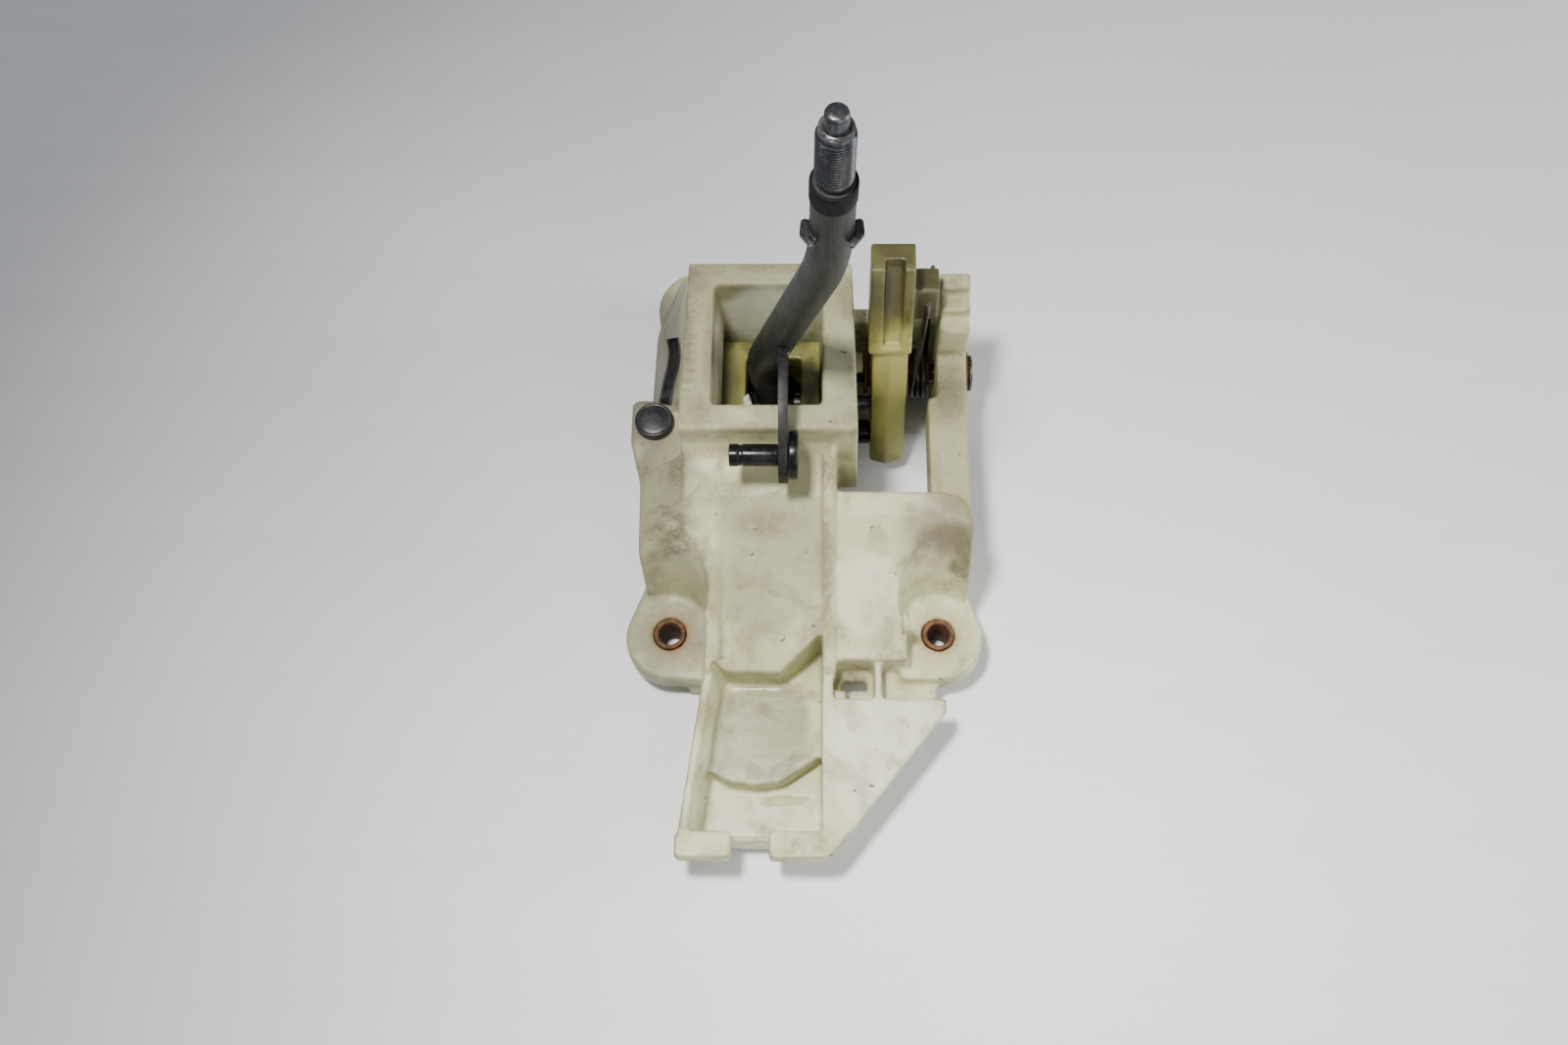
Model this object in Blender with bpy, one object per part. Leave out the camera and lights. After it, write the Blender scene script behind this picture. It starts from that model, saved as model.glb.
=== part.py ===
"""Floor-mounted manual gear shift lever assembly, for a gearbox worked by two cables.

Frame: +Z up, X across the car, -Y towards the cable exits, origin under the middle of the
assembly on the surface it stands on. Sizes below are in millimetres; objects are built in metres.
"""

import math

import bmesh
import bpy
from mathutils import Matrix, Vector

MM = 0.001
GAP = 0.3  # between pieces that touch

# Housing
SKIRT_Z = 1.0  # lower edge of the moulding
RIM_Z = 84.0  # top of the turret
WALL = 3.0
TURRET_Y = (21.2, 93.0)
TURRET_X = (-47.0, 20.6)
OPENING_X = (-34.8, 7.0)
OPENING_Y = (32.1, 83.4)
DRAFT = 2.2
DRAFT_LOW_Z = 53.5
DECK_Z = 66.0  # deck in front of the turret
SLOPE_START_Y = 3.0
SLOPE_END_Y = -57.0
SLOPE_END_Z = 32.0
TRAY_TOP_Z = 30.0
MIDDLE_FLOOR_Z = 15.5
FRONT_FLOOR_Z = 6.0
TRAY_WALL_LEAN = 4.5
TRAY_FRONT_Y = -119.5
PAD_FRONT_Y = -127.5
PAD_LOW_Z = 21.0
RIGHT_WALL_X = (7.5, 11.4)
BLOCK_BACK_Y = 7.0
BLOCK_X = 65.0
OUTER_ARM_X = (53.0, 65.0)

# Feet: M8 bolts through steel compression limiters
FOOT_TOP_Z = 21.0
FOOT_LOW_Z = 9.0
SCOOP_RADIUS = 16.4
BUSHING_OUTER = 12.5
BUSHING_BORE = 9.0
BUSHING_LENGTH = 21.3
FEET = {
    "front_left": ((-53.0, -38.0), 17.5),
    "front_right": ((53.0, -38.0), 17.5),
    "rear_left": ((-45.0, 109.0), 18.5),
    "rear_right": ((38.0, 100.0), 14.0),
}

# Lever and its two crossed axes
PIVOT = Vector((-12.5, 58.4, 32.0))
ROD_DIAMETER = 14.0
LOWER_BEND = Vector((-16.0, 61.0, 64.0))
UPPER_BEND = Vector((9.8, 30.8, 188.0))
LEVER_TOP = Vector((11.2, 30.7, 262.0))
PILOT_DIAMETER = 8.0
PILOT_LENGTH = 7.0
THREAD_DIAMETER = 12.0
THREAD_LENGTH = 25.0
THREAD_PITCH = 1.25
RING_BELOW_TOP = 40.2
RING_LENGTH = 8.2
CLIP_BELOW_TOP = 57.5
CLIP_THICKNESS = 1.6
YOKE_HALF_LENGTH = 21.0
YOKE_HALF_HEIGHT = 16.0
HUB_PIN_DIAMETER = 8.0
SLEEVE_OUTER = 24.0
SLEEVE_BORE = 16.0

# Shift arm and the pin that takes the shift cable
ARM_X = (-8.8, -5.4)
SHIFT_PIN = Vector((-5.4, 8.9, 88.0))
SHIFT_PIN_DIAMETER = 8.4
SHIFT_PIN_END_X = -27.0
PIN_DISC_DIAMETER = 18.5
PIN_DISC_LENGTH = 3.6
PIN_TAIL_RADIUS = 3.2

# Bell crank for the select cable
CRANK_Y = 71.5
CRANK_Z = 33.0
CRANK_X = (27.0, 41.0)
CRANK_HEAD_X = (25.2, 42.0)
CRANK_BORE = 11.6
FINGER_BALL_X = 29.0
FINGER_BALL_DIAMETER = 7.0
SELECT_PIN_Y = 53.0
SELECT_PIN_Z = 16.0
SELECT_PIN_DIAMETER = 10.0
SPRING_WIRE = 2.2
SPRING_TURNS = 2.5
SPRING_RADIUS = 9.3
SPRING_X = (42.7, 50.9)
TAB_X = (41.0, 51.9)
LEG_ANGLE = 9.0
LEG_LENGTH = 56.0
FRONT_LEG_SHIFT = 3.7  # towards the right at its tip
SHAFT_DIAMETER = 8.0
WASHER_RADIUS = 9.0
BOLT_HEAD_RADIUS = 7.5

# Cable tie
TIE_BUTTON = Vector((-59.8, 41.5, 47.6))
STRAP_HALF = (2.4, 0.6)


def clear_scene():
    for item in list(bpy.data.objects):
        bpy.data.objects.remove(item)


def material(name, colour, roughness, metallic=0.0):
    made = bpy.data.materials.new(name)
    made.use_nodes = True
    shader = made.node_tree.nodes["Principled BSDF"]
    shader.inputs["Base Color"].default_value = (*colour, 1.0)
    shader.inputs["Roughness"].default_value = roughness
    shader.inputs["Metallic"].default_value = metallic
    made.diffuse_color = (*colour, 1.0)
    return made


def empty(name, place):
    item = bpy.data.objects.new(name, None)
    item.location = Vector(place) * MM
    bpy.context.scene.collection.objects.link(item)
    return item


def from_bmesh(name, shape):
    """Makes an object, in metres, from a bmesh in millimetres."""
    bmesh.ops.recalc_face_normals(shape, faces=shape.faces)
    mesh = bpy.data.meshes.new(name)
    shape.transform(Matrix.Scale(MM, 4))
    shape.to_mesh(mesh)
    shape.free()
    item = bpy.data.objects.new(name, mesh)
    bpy.context.scene.collection.objects.link(item)
    return item


def hull(name, points):
    """The smallest convex solid round some points."""
    shape = bmesh.new()
    for point in points:
        shape.verts.new(point)
    result = bmesh.ops.convex_hull(shape, input=shape.verts)
    spare = [e for e in result["geom_interior"] + result["geom_unused"] if isinstance(e, bmesh.types.BMVert)]
    bmesh.ops.delete(shape, geom=list(set(spare)), context="VERTS")
    bmesh.ops.dissolve_limit(shape, angle_limit=0.002, verts=shape.verts, edges=shape.edges)
    return from_bmesh(name, shape)


def box(name, x, y, z):
    return hull(name, [(a, b, c) for a in x for b in y for c in z])


def prism(name, outline, axis, start, end, round_edges=0.0, segments=3):
    """An outline in the plane across one axis, run along that axis; its long edges can be rounded."""
    position = "XYZ".index(axis)
    shape = bmesh.new()
    rings = []
    for run in (start, end):
        ring = []
        for pair in outline:
            place = list(pair)
            place.insert(position, run)
            ring.append(shape.verts.new(place))
        rings.append(ring)
    near, far = rings
    shape.faces.new(near)
    shape.faces.new(far[::-1])
    for i in range(len(outline)):
        j = (i + 1) % len(outline)
        shape.faces.new((near[i], far[i], far[j], near[j]))
    if round_edges:
        long_edges = [e for e in shape.edges if (e.verts[0] in near) != (e.verts[1] in near)]
        bmesh.ops.bevel(
            shape, geom=long_edges, offset=round_edges, segments=segments, profile=0.5, affect="EDGES"
        )
    return from_bmesh(name, shape)


def circle(centre, radius, height, count=24):
    turn = 2 * math.pi / count
    return [
        (centre[0] + radius * math.cos(i * turn), centre[1] + radius * math.sin(i * turn), height)
        for i in range(count)
    ]


def turned(name, profile, start, end, count=32):
    """A closed turned solid: (distance along, radius) pairs about the line from start to end.

    Pairs run along the outer side first and come back along a bore, when there is one.
    """
    start = Vector(start)
    axis = (Vector(end) - start).normalized()
    side = axis.orthogonal().normalized()
    other = axis.cross(side)
    shape = bmesh.new()
    rings = []
    for along, radius in profile:
        if radius == 0:
            rings.append([shape.verts.new(start + axis * along)])
            continue
        ring = []
        for i in range(count):
            angle = 2 * math.pi * i / count
            offset = side * math.cos(angle) + other * math.sin(angle)
            ring.append(shape.verts.new(start + axis * along + offset * radius))
        rings.append(ring)
    bored = profile[0][1] != 0
    pairs = list(zip(rings, rings[1:]))
    if bored:
        pairs.append((rings[-1], rings[0]))
    for first, second in pairs:
        for i in range(count):
            j = (i + 1) % count
            corners = [
                first[i % len(first)], first[j % len(first)], second[j % len(second)], second[i % len(second)]
            ]
            shape.faces.new(list(dict.fromkeys(corners)))
    return from_bmesh(name, shape)


def rod(name, radius, start, end, count=32, chamfer=0.0):
    length = (Vector(end) - Vector(start)).length
    if chamfer:
        profile = [(0, 0), (0, radius - chamfer), (chamfer, radius), (length - chamfer, radius)]
        profile += [(length, radius - chamfer), (length, 0)]
    else:
        profile = [(0, 0), (0, radius), (length, radius), (length, 0)]
    return turned(name, profile, start, end, count)


def tube(name, outer, bore, start, end, count=32, flange=None):
    """A plain tube, or one with a flange (radius, thickness) at its end."""
    length = (Vector(end) - Vector(start)).length
    profile = [(0, bore), (0, outer)]
    if flange:
        radius, thickness = flange
        profile += [(length - thickness, outer), (length - thickness, radius), (length, radius)]
    else:
        profile += [(length, outer)]
    profile += [(length, bore)]
    return turned(name, profile, start, end, count)


def squared(value):
    """Pushes a cosine or a sine outwards, so that a circle turns into a rounded rectangle."""
    return math.copysign(abs(value) ** 0.35, value)


def swept(name, points, radius, count=12, flat=None):
    """A bar along a path, with mitred bends. flat gives a strap's (half width, half thickness)."""
    points = [Vector(p) for p in points]
    shape = bmesh.new()
    rings = []
    guide = None
    for i, point in enumerate(points):
        before = (point - points[i - 1]).normalized() if i else None
        after = (points[i + 1] - point).normalized() if i + 1 < len(points) else None
        along = (before or after) if not (before and after) else (before + after).normalized()
        if guide is None:
            guide = along.orthogonal() if not flat else Vector((1, 0, 0))
        guide = (guide - along * guide.dot(along)).normalized()
        other = along.cross(guide)
        stretch = 1.0
        if before and after:
            stretch = 1 / max(math.cos(before.angle(after) / 2), 0.5)
            bend = (after - before).normalized()
        ring = []
        for k in range(count):
            angle = 2 * math.pi * (k + 0.5) / count
            if flat:
                offset = guide * flat[0] * squared(math.cos(angle)) + other * flat[1] * squared(
                    math.sin(angle)
                )
            else:
                offset = (guide * math.cos(angle) + other * math.sin(angle)) * radius
            if before and after and (after - before).length > 1e-4:
                offset += bend * offset.dot(bend) * (stretch - 1)
            ring.append(shape.verts.new(point + offset))
        rings.append(ring)
    for first, second in zip(rings, rings[1:]):
        for i in range(count):
            j = (i + 1) % count
            shape.faces.new((first[i], first[j], second[j], second[i]))
    shape.faces.new(rings[0])
    shape.faces.new(rings[-1][::-1])
    return from_bmesh(name, shape)


def bend_points(before, corner, after, radius, steps=5):
    """Points of a smooth bend of this reach on each side of a corner."""
    first = corner + (before - corner).normalized() * radius
    last = corner + (after - corner).normalized() * radius
    made = []
    for i in range(steps + 1):
        t = i / steps
        made.append(first * (1 - t) ** 2 + corner * 2 * t * (1 - t) + last * t * t)
    return made


def combine(target, others, operation):
    """Joins to or cuts from the target, and drops the helpers."""
    for other in others:
        step = target.modifiers.new(operation.lower(), "BOOLEAN")
        step.operation = operation
        step.solver = "EXACT"
        step.object = other
        graph = bpy.context.evaluated_depsgraph_get()
        mesh = bpy.data.meshes.new_from_object(target.evaluated_get(graph))
        target.modifiers.clear()
        target.data = mesh
    for other in others:
        bpy.data.objects.remove(other)
    return target


def tidy(item, distance):
    """Merges the almost coincident corners that many cuts leave behind."""
    shape = bmesh.new()
    shape.from_mesh(item.data)
    bmesh.ops.remove_doubles(shape, verts=shape.verts, dist=distance * MM)
    bmesh.ops.dissolve_degenerate(shape, dist=distance * MM, edges=shape.edges)
    bmesh.ops.triangulate(shape, faces=shape.faces)
    shape.to_mesh(item.data)
    shape.free()
    return item


def finish(item, look, parent=None, origin=None):
    """Gives a piece its material and shading, and sets its origin on a joint's axis."""
    item.data.materials.clear()
    item.data.materials.append(look)
    item.data.name = item.name
    if origin is not None:
        place = Vector(origin) * MM
        item.data.transform(Matrix.Translation(-place))
        item.location = place
    item.data.shade_smooth()
    item.data.set_sharp_from_angle(angle=math.radians(32))
    if parent:
        bpy.context.view_layer.update()
        item.parent = parent
        item.matrix_parent_inverse = parent.matrix_world.inverted()
    return item


def slope_z(y):
    """Height of the sloping deck at this place."""
    share = (SLOPE_START_Y - y) / (SLOPE_START_Y - SLOPE_END_Y)
    return DECK_Z - 1.5 - share * (DECK_Z - 1.5 - SLOPE_END_Z)


# ---------------------------------------------------------------- housing


def scoop(name, side, grow):
    """The hollow above a front foot: round at the foot, leaning back as it rises."""
    (x, y), _ = FEET["front_left" if side < 0 else "front_right"]
    low = circle((x, y), SCOOP_RADIUS + grow, FOOT_TOP_Z + 0.05 - grow)
    high = circle((x + side * 1.0, y + 16.0), SCOOP_RADIUS + 1.1 + grow, 62.0)
    return hull(name, low + high)


def housing_outer():
    """The moulding as a solid, before it is hollowed."""
    x0, x1 = TURRET_X
    y0, y1 = TURRET_Y
    turret = hull(
        "base_housing",
        [(x0 + 2, y1, RIM_Z), (x1 - 2, y1, RIM_Z), (x1, y0, RIM_Z), (x0, y0, RIM_Z)]
        + [(x0 - 0.8, y1 + 1.5, SKIRT_Z), (x1 + 0.8, y1 + 1.5, SKIRT_Z)]
        + [(x1 + 0.8, y0 - 0.6, SKIRT_Z), (x0 - 0.8, y0 - 0.6, SKIRT_Z)],
    )
    pieces = []
    deck = [(y0 + 6, SKIRT_Z + 0.1), (y0 + 6, DECK_Z + 12), (y0 - 0.4, DECK_Z + 6), (y0 - 3.0, DECK_Z + 1.5)]
    deck += [(y0 - 8, DECK_Z), (SLOPE_START_Y, DECK_Z - 1.5), (SLOPE_END_Y, SLOPE_END_Z)]
    deck += [(SLOPE_END_Y, SKIRT_Z + 0.1)]
    pieces.append(prism("deck", deck, "X", -46.2, 12.5))
    side = [(BLOCK_BACK_Y, SKIRT_Z + 0.2), (BLOCK_BACK_Y, 60.0), (-2.0, 59.0), (-48.0, 33.5), (-52.0, 32.5)]
    side += [(-52.0, SKIRT_Z + 0.2)]
    pieces.append(prism("right_side", side, "X", 10.5, 40.0))
    block = [
        (38.0, BLOCK_BACK_Y - 0.01), (BLOCK_X - 11, BLOCK_BACK_Y - 0.01), (BLOCK_X - 5.5, BLOCK_BACK_Y - 1.8)
    ]
    block += [
        (BLOCK_X - 1.8, BLOCK_BACK_Y - 5.5), (BLOCK_X, BLOCK_BACK_Y - 12), (BLOCK_X - 0.5, -24.0),
        (38.0, -44.0)
    ]
    corners = [(x, y, SKIRT_Z + 0.2) for x, y in block]
    corners += [(x, y, 59.8 if y > -10 else 43.0) for x, y in block]
    pieces.append(hull("right_block", corners))
    shoulder = [
        (-45.0, y0, DECK_Z - 0.5), (-45.0, SLOPE_START_Y, DECK_Z - 2.2), (-37.0, -34.0, slope_z(-34) - 0.6)
    ]
    shoulder += [(-64.4, 18.0, 50.0), (-64.4, -12.0, 44.0), (-61.0, -28.0, 39.0)]
    shoulder += [(-64.4, 18.0, SKIRT_Z + 0.3), (-64.4, -14.0, SKIRT_Z + 0.3), (-61.0, -28.0, SKIRT_Z + 0.3)]
    shoulder += [(-37.0, -34.0, SKIRT_Z + 0.3), (-45.0, y0, SKIRT_Z + 0.3)]
    pieces.append(hull("left_shoulder", shoulder))
    lobe = [(-69.2, 50.5), (-66.8, 52.2), (-46.0, 52.2), (-46.0, 12.0), (-64.0, 13.0), (-69.2, 34.0)]
    corners = [(x, y, SKIRT_Z + 0.4) for x, y in lobe]
    corners += [(x, y, 47.0 if y > 30 else 47.4) for x, y in lobe]
    pieces.append(hull("left_lobe", corners))
    skirt = [
        (-46.0, 50.5, 66.0), (-46.0, 92.0, 66.0), (-65.8, 40.0, 14.0), (-64.2, 100.0, 14.0),
        (-52.0, 112.0, 40.0)
    ]
    skirt += [
        (-65.8, 40.0, 1.5), (-64.2, 100.0, 1.5), (-46.0, 40.0, 1.5), (-46.0, 124.0, 1.5), (-46.0, 112.0, 44.0)
    ]
    skirt += [(-52.0, 124.0, 1.5)]
    pieces.append(hull("left_skirt", skirt))
    back = [(-47.0, 88.0), (20.0, 88.0), (20.0, 101.0), (-47.0, 118.0)]
    corners = [(x, y, 1.6) for x, y in back] + [(x, y, 24.0 if y > 95 else 44.0) for x, y in back]
    pieces.append(hull("rear_shelf", corners))
    for side_sign, front in ((-1, "front_left"), (1, "front_right")):
        (x, y), radius = FEET[front]
        edge = 38.0 * side_sign
        lobe_points = circle((x, y - 1.0), radius, FOOT_TOP_Z, 32) + circle(
            (x, y - 1.0), radius, FOOT_LOW_Z, 32
        )
        for z in (FOOT_TOP_Z, FOOT_LOW_Z):
            lobe_points += [(edge, y - 18.5, z), (edge, y + 20, z), (x + side_sign * 10.5, y + 20, z)]
        pieces.append(hull(front, lobe_points))
    for name, join in (
        ("rear_left", [(-20.0, 90.0), (-60.0, 88.0)]), ("rear_right", [(20.5, 88.2), (56.0, 88.2)])
    ):
        (x, y), radius = FEET[name]
        points = circle((x, y), radius, FOOT_TOP_Z, 32) + circle((x, y), radius, FOOT_LOW_Z, 32)
        points += [(a, b, z) for a, b in join for z in (FOOT_TOP_Z, FOOT_LOW_Z)]
        pieces.append(hull(name, points))
    return turret, pieces


def tray_left(y, inset=0.0):
    """Left edge of the cable trough, which widens towards its front."""
    return inset - 38.6 - (SLOPE_END_Y - y) * 0.128


def tray_pieces():
    """The cable trough in front of the slope, with its pads and the flat gusset beside it."""
    y0, y1 = SLOPE_END_Y + 4, TRAY_FRONT_Y
    outline = [(tray_left(y0), y0), (RIGHT_WALL_X[1], y0), (RIGHT_WALL_X[1], y1), (tray_left(y1), y1)]
    pieces = [hull("tray", [(x, y, z) for x, y in outline for z in (3.0, TRAY_TOP_Z)])]
    for span in ((tray_left(PAD_FRONT_Y), -26.6), (-12.4, 9.4)):
        outline = [(span[0], y1 + 1), (span[1], y1 + 1), (span[1], PAD_FRONT_Y), (span[0], PAD_FRONT_Y)]
        pieces.append(prism("pad", outline, "Z", PAD_LOW_Z, TRAY_TOP_Z, round_edges=0.9, segments=2))
    ridge_start = 6.0
    rib = [(-30.2, ridge_start, DECK_Z - 1.0), (-29.2, ridge_start, DECK_Z - 1.0)]
    rib += [(-33.0, ridge_start, 50.0), (-28.0, ridge_start, 50.0)]
    rib += [(tray_left(y0, inset), y0, 20.0) for inset in (-0.3, 9.0)]
    rib += [(tray_left(y0, inset), y0, SLOPE_END_Z + 5.4) for inset in (6.4, 7.6)]
    pieces.append(hull("left_rib", rib))
    rise = [
        (-56.0, TRAY_TOP_Z - 4), (-56.0, SLOPE_END_Z + 2.0), (SLOPE_START_Y, DECK_Z + 1.2),
        (24.0, DECK_Z + 5.5)
    ]
    rise += [(24.0, DECK_Z - 8)]
    pieces.append(prism("right_rib", rise, "X", RIGHT_WALL_X[0], RIGHT_WALL_X[1]))
    gusset = [(10.0, -66.4), (54.9, -66.4), (55.1, -71.4), (11.2, -126.8), (9.0, -126.8)]
    pieces.append(prism("gusset", gusset, "Z", TRAY_TOP_Z - 3.0, TRAY_TOP_Z - 0.05))
    pieces.append(box("cable_shelf", (9.0, 52.0), (-66.0, -45.0), (12.0, 16.5)))
    pieces.append(box("shelf_web", (27.6, 30.0), (-66.2, -48.0), (12.5, TRAY_TOP_Z - 0.6)))
    pieces.append(box("shelf_end", (11.0, 17.0), (-66.0, -61.5), (13.0, 23.0)))
    return pieces


def rear_frame_pieces():
    """The bridge that carries the right end of the crank shaft, and the tie behind the crank."""
    x0, x1 = OUTER_ARM_X
    bridge = [(BLOCK_BACK_Y - 5, 26.0), (BLOCK_BACK_Y - 5, 52.5), (30.0, 50.0), (60.0, 50.0), (69.5, 52.0)]
    bridge += [(69.5, 71.0), (76.5, 71.0), (76.5, 75.5), (84.0, 75.5), (84.0, 80.0), (91.0, 80.0)]
    bridge += [(93.0, 40.0), (93.0, 2.0), (58.0, 2.0), (56.0, 18.0), (30.0, 24.0)]
    pieces = [prism("bridge", bridge, "X", x0, x1)]
    pieces.append(box("bridge_lip", (49.3, x0 + 1.0), (2.0, 52.0), (30.0, 49.8)))
    pieces.append(box("rear_tie", (18.0, 64.0), (88.0, 95.5), (2.2, 45.0)))
    pieces.append(box("rear_floor", (18.5, 63.5), (79.0, 90.0), (14.0, 18.0)))
    pieces.append(rod("left_boss", 8.5, on_shaft(16.0), on_shaft(24.0)))
    return pieces


def housing_hollows():
    """Everything taken out of the moulding."""
    cuts = []
    y0, y1 = OPENING_Y
    cuts.append(box("opening", OPENING_X, OPENING_Y, (-5.0, RIM_Z + 5)))
    front = SLOPE_END_Y + 17
    deck = [(17.6, -5.0), (17.6, DECK_Z - 3.2), (SLOPE_START_Y, DECK_Z - 5.0), (front, slope_z(front) - 3.4)]
    deck += [(front, -5.0)]
    under = prism("under_deck", deck, "X", -43.0, 8.6)
    back = BLOCK_BACK_Y - WALL
    side = [(back, -5.0), (back, 56.5), (-2.0, 55.6), (-46.0, 31.0), (-46.0, -5.0)]
    under_right = prism("under_right", side, "X", 11.8, 61.8)
    shoulder = [(-43.2, 17.0, DECK_Z - 4), (-43.2, 0.0, DECK_Z - 6), (-40.0, -32.0, slope_z(-32) - 5)]
    shoulder += [(-61.4, 17.0, 45.5), (-61.4, -12.0, 40.0), (-58.5, -26.0, 35.0), (-61.4, 17.0, -5.0)]
    shoulder += [(-61.4, -14.0, -5.0), (-58.5, -26.0, -5.0), (-40.0, -32.0, -5.0), (-43.2, 17.0, -5.0)]
    under_left = hull("under_left", shoulder)
    for part, sign in ((under, -1), (under_right, 1), (under_left, -1)):
        combine(part, [scoop("grown_scoop", sign, 2.6)], "DIFFERENCE")
    cuts += [under, under_right, under_left]
    cuts.append(box("under_lobe", (-65.6, -49.4), (24.6, 48.7), (-5.0, 43.2)))
    skirt = [(-50.0, 55.2, 52.0), (-50.0, 104.0, 48.0), (-62.4, 55.2, 15.0), (-61.0, 90.0, 15.0)]
    skirt += [(-62.4, 55.2, -5.0), (-61.0, 90.0, -5.0), (-50.0, 55.2, -5.0), (-50.0, 88.0, -5.0)]
    cuts.append(hull("under_skirt", skirt))
    cuts.append(box("front_core", (-43.6, 17.2), (TURRET_Y[0] + 2.6, y0 - 2.8), (-5.0, RIM_Z - WALL)))
    cuts.append(box("rear_core", (-43.4, 17.0), (y1 + 2.8, TURRET_Y[1] - 2.6), (-5.0, RIM_Z - WALL)))
    for x in ((-44.2, -37.6), (9.8, 17.6)):
        for y in ((y0 + 0.5, 42.5), (74.5, y1 - 0.5)):
            cuts.append(box("side_core", x, y, (-5.0, RIM_Z - WALL)))
        cuts.append(box("low_core", x, (46.0, 71.0), (-5.0, 14.0)))
    cuts += [scoop("scoop", sign, 0.0) for sign in (-1, 1)]
    corner_y = (FEET["front_left"][0][1], SLOPE_END_Y - 1.5)
    corner = [(-37.2, corner_y[0]), (-38.9, corner_y[1]), (-60.0, corner_y[1]), (-60.0, corner_y[0])]
    cuts.append(prism("foot_corner", corner, "Z", FOOT_TOP_Z + 0.05, 60.0))
    return cuts


def leaning_pocket(name, outline, floor_z, ends, wall):
    """A pocket cutter whose left side comes inwards as it goes down."""
    pocket = prism(name, outline, "Z", floor_z, 60.0)
    left = []
    for y in ends:
        edge = tray_left(y, wall)
        left += [(edge - 2.0, y, TRAY_TOP_Z), (edge + 0.01, y, TRAY_TOP_Z), (edge - 2.0, y, floor_z - 1.0)]
        left += [(edge + TRAY_WALL_LEAN, y, floor_z - 1.0), (edge + TRAY_WALL_LEAN, y, floor_z)]
    return combine(pocket, [hull("left_side", left)], "DIFFERENCE")


def tray_hollows():
    """The trough's two pockets, the notch in its front wall and the slot for the select cable."""
    y0 = SLOPE_END_Y
    wall = 3.2
    cuts = []
    step = [(tray_left(y0, wall), y0 + 5), (-30.0, y0 + 0.2), (-9.0, y0), (6.0, y0 + 13.0), (7.4, y0 + 14.0)]
    floor = [(7.4, -98.5), (tray_left(-98.5, wall), -98.5)]
    cuts.append(leaning_pocket("middle_pocket", step + floor, MIDDLE_FLOOR_Z, (y0 + 6, -99.5), wall))
    front = [
        (tray_left(-90.0, wall), -90.0), (-29.0, -96.0), (-18.0, -97.4), (-8.4, -96.0), (5.6, -86.5),
        (7.4, -85.5)
    ]
    front += [(7.4, TRAY_FRONT_Y + 2), (tray_left(TRAY_FRONT_Y, wall + 0.2), TRAY_FRONT_Y + 2)]
    cuts.append(leaning_pocket("front_pocket", front, FRONT_FLOOR_Z, (-89.0, TRAY_FRONT_Y + 1), wall))
    notch = [(-26.6, -130.0), (-26.6, TRAY_FRONT_Y + 3), (-12.4, TRAY_FRONT_Y + 3), (-12.4, -130.0)]
    cuts.append(prism("cable_notch", notch, "Z", 19.0, 60.0))
    cuts.append(box("select_slot", (14.8, 25.0), (-60.5, -56.0), (0.0, 30.0)))
    return cuts


def opening_draft():
    """The slanting upper part of the opening's left wall."""
    x, (y0, y1) = OPENING_X[0], OPENING_Y
    points = []
    for y in (y0 - 1.0, y1 + 1.0):
        points += [(x - 1.0, y, RIM_Z - 1.0), (x + 0.01, y, RIM_Z - 1.0)]
        points += [(x - 1.0, y, DRAFT_LOW_Z), (x + DRAFT, y, DRAFT_LOW_Z)]
    return hull("draft", points)


def mechanism_bores():
    px, py, pz = PIVOT
    cuts = [rod("left_pin_bore", 5.0 + GAP, (-52.0, py, pz), (-30.0, py, pz))]
    cuts.append(rod("sleeve_bore", SLEEVE_OUTER / 2 + GAP, (4.0, py, pz), (30.0, py, pz), 40))
    cuts.append(rod("shaft_bore", SHAFT_DIAMETER / 2 + GAP, on_shaft(4.0), on_shaft(75.0), 24))
    cuts.append(box("cable_passage", (13.4, 30.0), (-20.0, 66.0), (-5.0, 30.0)))
    return cuts


def base_housing(look):
    housing, pieces = housing_outer()
    combine(housing, pieces + tray_pieces() + rear_frame_pieces(), "UNION")
    combine(housing, housing_hollows() + tray_hollows(), "DIFFERENCE")
    places = [place for place, _ in FEET.values()]
    bosses = [rod("foot_boss", 10.5, (x, y, SKIRT_Z), (x, y, FOOT_TOP_Z - 1), 24) for x, y in places]
    combine(housing, bosses, "UNION")
    hole = BUSHING_OUTER / 2 + GAP
    combine(housing, [rod("foot_hole", hole, (x, y, -5), (x, y, 30), 24) for x, y in places], "DIFFERENCE")
    combine(housing, [opening_draft()], "UNION")
    combine(housing, mechanism_bores(), "DIFFERENCE")
    housing.name = "base_housing"
    return finish(tidy(housing, 0.03), look)


# ---------------------------------------------------------------- fixed pieces


def bushings(look):
    for name, ((x, y), _) in FEET.items():
        low, high = (x, y, 0.0), (x, y, BUSHING_LENGTH)
        finish(tube(name + "_bushing", BUSHING_OUTER / 2, BUSHING_BORE / 2, low, high, 24), look)


def on_shaft(x):
    """A point on the bell crank's axis."""
    return Vector((x, CRANK_Y, CRANK_Z))


def crank_shaft_pieces(steel, rust):
    """The bolt that carries the crank, and the washer under its head."""
    bolt = rod("crank_bolt", SHAFT_DIAMETER / 2, on_shaft(13.0), on_shaft(67.3), 20)
    head = rod("head", BOLT_HEAD_RADIUS, on_shaft(67.0), on_shaft(68.6), 24, 0.5)
    finish(combine(bolt, [head], "UNION"), steel)
    bore = SHAFT_DIAMETER / 2 + GAP
    finish(tube("bolt_washer", WASHER_RADIUS, bore, on_shaft(65.3), on_shaft(66.7), 24), rust)


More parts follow.
